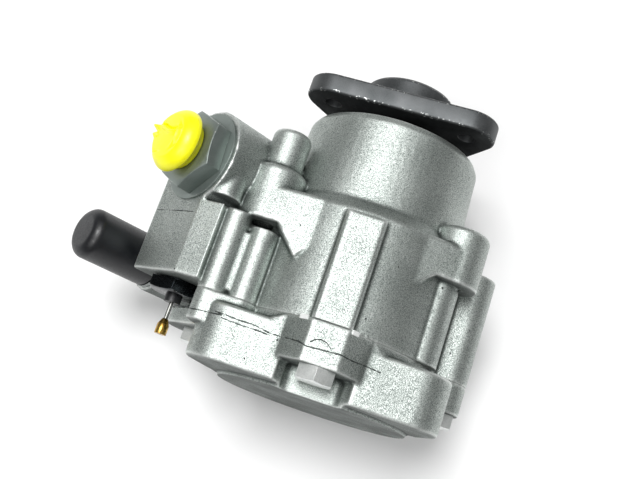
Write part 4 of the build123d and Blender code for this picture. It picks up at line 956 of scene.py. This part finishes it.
class PUMP_OT_stage(bpy.types.Operator):
    """Sets the white floor, the room's light, the two soft lamps and the camera"""

    bl_idname = "pump.stage"
    bl_label = "Stage"

    # Half the width of the table, in metres
    REACH = 2.0
    # Where each lamp stands as seen from the camera: so much up and so much to the right
    LAMPS = (("key", 0.52, -0.1), ("fill", -0.15, -0.42))

    def execute(self, context):
        scene = context.scene
        looks = scene.pump_stage
        self.floor(looks)
        self.room(scene, looks)
        self.lamps(looks)
        scene.camera = self.camera()
        scene.view_settings.view_transform = "Standard"
        return {"FINISHED"}

    def floor(self, looks):
        """A matt white table, bright enough to read as white and dark where the pump shades it."""
        corners = [(x * self.REACH, y * self.REACH, FLOOR * MM)
                   for x, y in ((-1, -1), (1, -1), (1, 1), (-1, 1))]
        mesh = bpy.data.meshes.new("floor")
        mesh.from_pydata(corners, [], [(0, 1, 2, 3)])
        material = bpy.data.materials.new("table_matt_white")
        material.use_nodes = True
        tree = material.node_tree
        tree.nodes.clear()
        matt = add(tree, "ShaderNodeBsdfDiffuse", {"Color": opaque(looks.floor)})
        add(tree, "ShaderNodeOutputMaterial", {"Surface": matt.outputs[0]})
        mesh.materials.append(material)
        link(bpy.data.objects.new("floor", mesh))

    def room(self, scene, looks):
        """A room with a ceiling brighter than its walls, so that metal shades off towards its flanks."""
        world = bpy.data.worlds.new("room")
        scene.world = world
        world.use_nodes = True
        tree = world.node_tree
        tree.nodes.clear()
        way = add(tree, "ShaderNodeTexCoord").outputs["Generated"]
        height = add(tree, "ShaderNodeSeparateXYZ", {"Vector": way}).outputs["Z"]
        strength = add(tree, "ShaderNodeMapRange", {
            "Value": height, "From Min": 0.2, "From Max": 0.8, "To Min": looks.walls,
            "To Max": looks.ceiling}, interpolation_type="SMOOTHSTEP").outputs[0]
        light = add(tree, "ShaderNodeBackground", {"Color": (1, 1, 1, 1), "Strength": strength})
        add(tree, "ShaderNodeOutputWorld", {"Surface": light.outputs[0]})

    def lamps(self, looks):
        """Two wide soft lamps, each turned so that its light comes from its place in LAMPS."""
        for name, up, right in self.LAMPS:
            light = bpy.data.lights.new(name, "SUN")
            light.energy = getattr(looks, name)
            light.angle = looks.spread
            lamp = link(bpy.data.objects.new(name, light))
            lamp.rotation_mode = "QUATERNION"
            lamp.rotation_quaternion = (RIGHT.cross(UP) + up * UP + right * RIGHT).to_track_quat("Z", "Y")

    def camera(self):
        """The photograph's view: the camera stands above the pump and looks down on its front."""
        place = Matrix((RIGHT, UP, RIGHT.cross(UP))).transposed().to_4x4()
        place.translation = EYE
        data = bpy.data.cameras.new("photograph")
        data.sensor_width = SENSOR
        data.lens = LENS
        data.shift_x = SHIFT
        data.clip_start, data.clip_end = 0.01, 20
        camera = link(bpy.data.objects.new("photograph", data))
        camera.matrix_world = place
        return camera


class VIEW3D_PT_pump(bpy.types.Panel):
    """Lists the pump's sizes, colours and steps"""

    bl_idname = "VIEW3D_PT_pump"
    bl_label = "Power Steering Pump"
    bl_space_type = "VIEW_3D"
    bl_region_type = "UI"
    bl_category = "Pump"

    def draw(self, context):
        for group, name in GROUPS.items():
            looks = getattr(context.scene, name)
            box = self.layout.box()
            for value in group.__annotations__:
                box.prop(looks, value)
        for operator in OPERATORS:
            self.layout.operator(operator.bl_idname)


GROUPS = {PumpCastings: "pump_castings", PumpSteel: "pump_steel", PumpPlastics: "pump_plastics",
          PumpStage: "pump_stage"}
# In the order in which they run
OPERATORS = (PUMP_OT_stage, PUMP_OT_castings, PUMP_OT_mould_marks, PUMP_OT_cover_screws, PUMP_OT_flange,
             PUMP_OT_union, PUMP_OT_plug, PUMP_OT_suction, PUMP_OT_switch, PUMP_OT_inner_parts,
             PUMP_OT_valve_springs)


def register():
    for group, name in GROUPS.items():
        bpy.utils.register_class(group)
        setattr(bpy.types.Scene, name, PointerProperty(type=group))
    for item in (*OPERATORS, VIEW3D_PT_pump):
        bpy.utils.register_class(item)


def unregister():
    for item in (VIEW3D_PT_pump, *reversed(OPERATORS)):
        bpy.utils.unregister_class(item)
    for group, name in GROUPS.items():
        delattr(bpy.types.Scene, name)
        bpy.utils.unregister_class(group)


def main():
    register()
    for operator in OPERATORS:
        getattr(bpy.ops.pump, operator.bl_idname.removeprefix("pump."))()


if __name__ == "__main__":
    main()
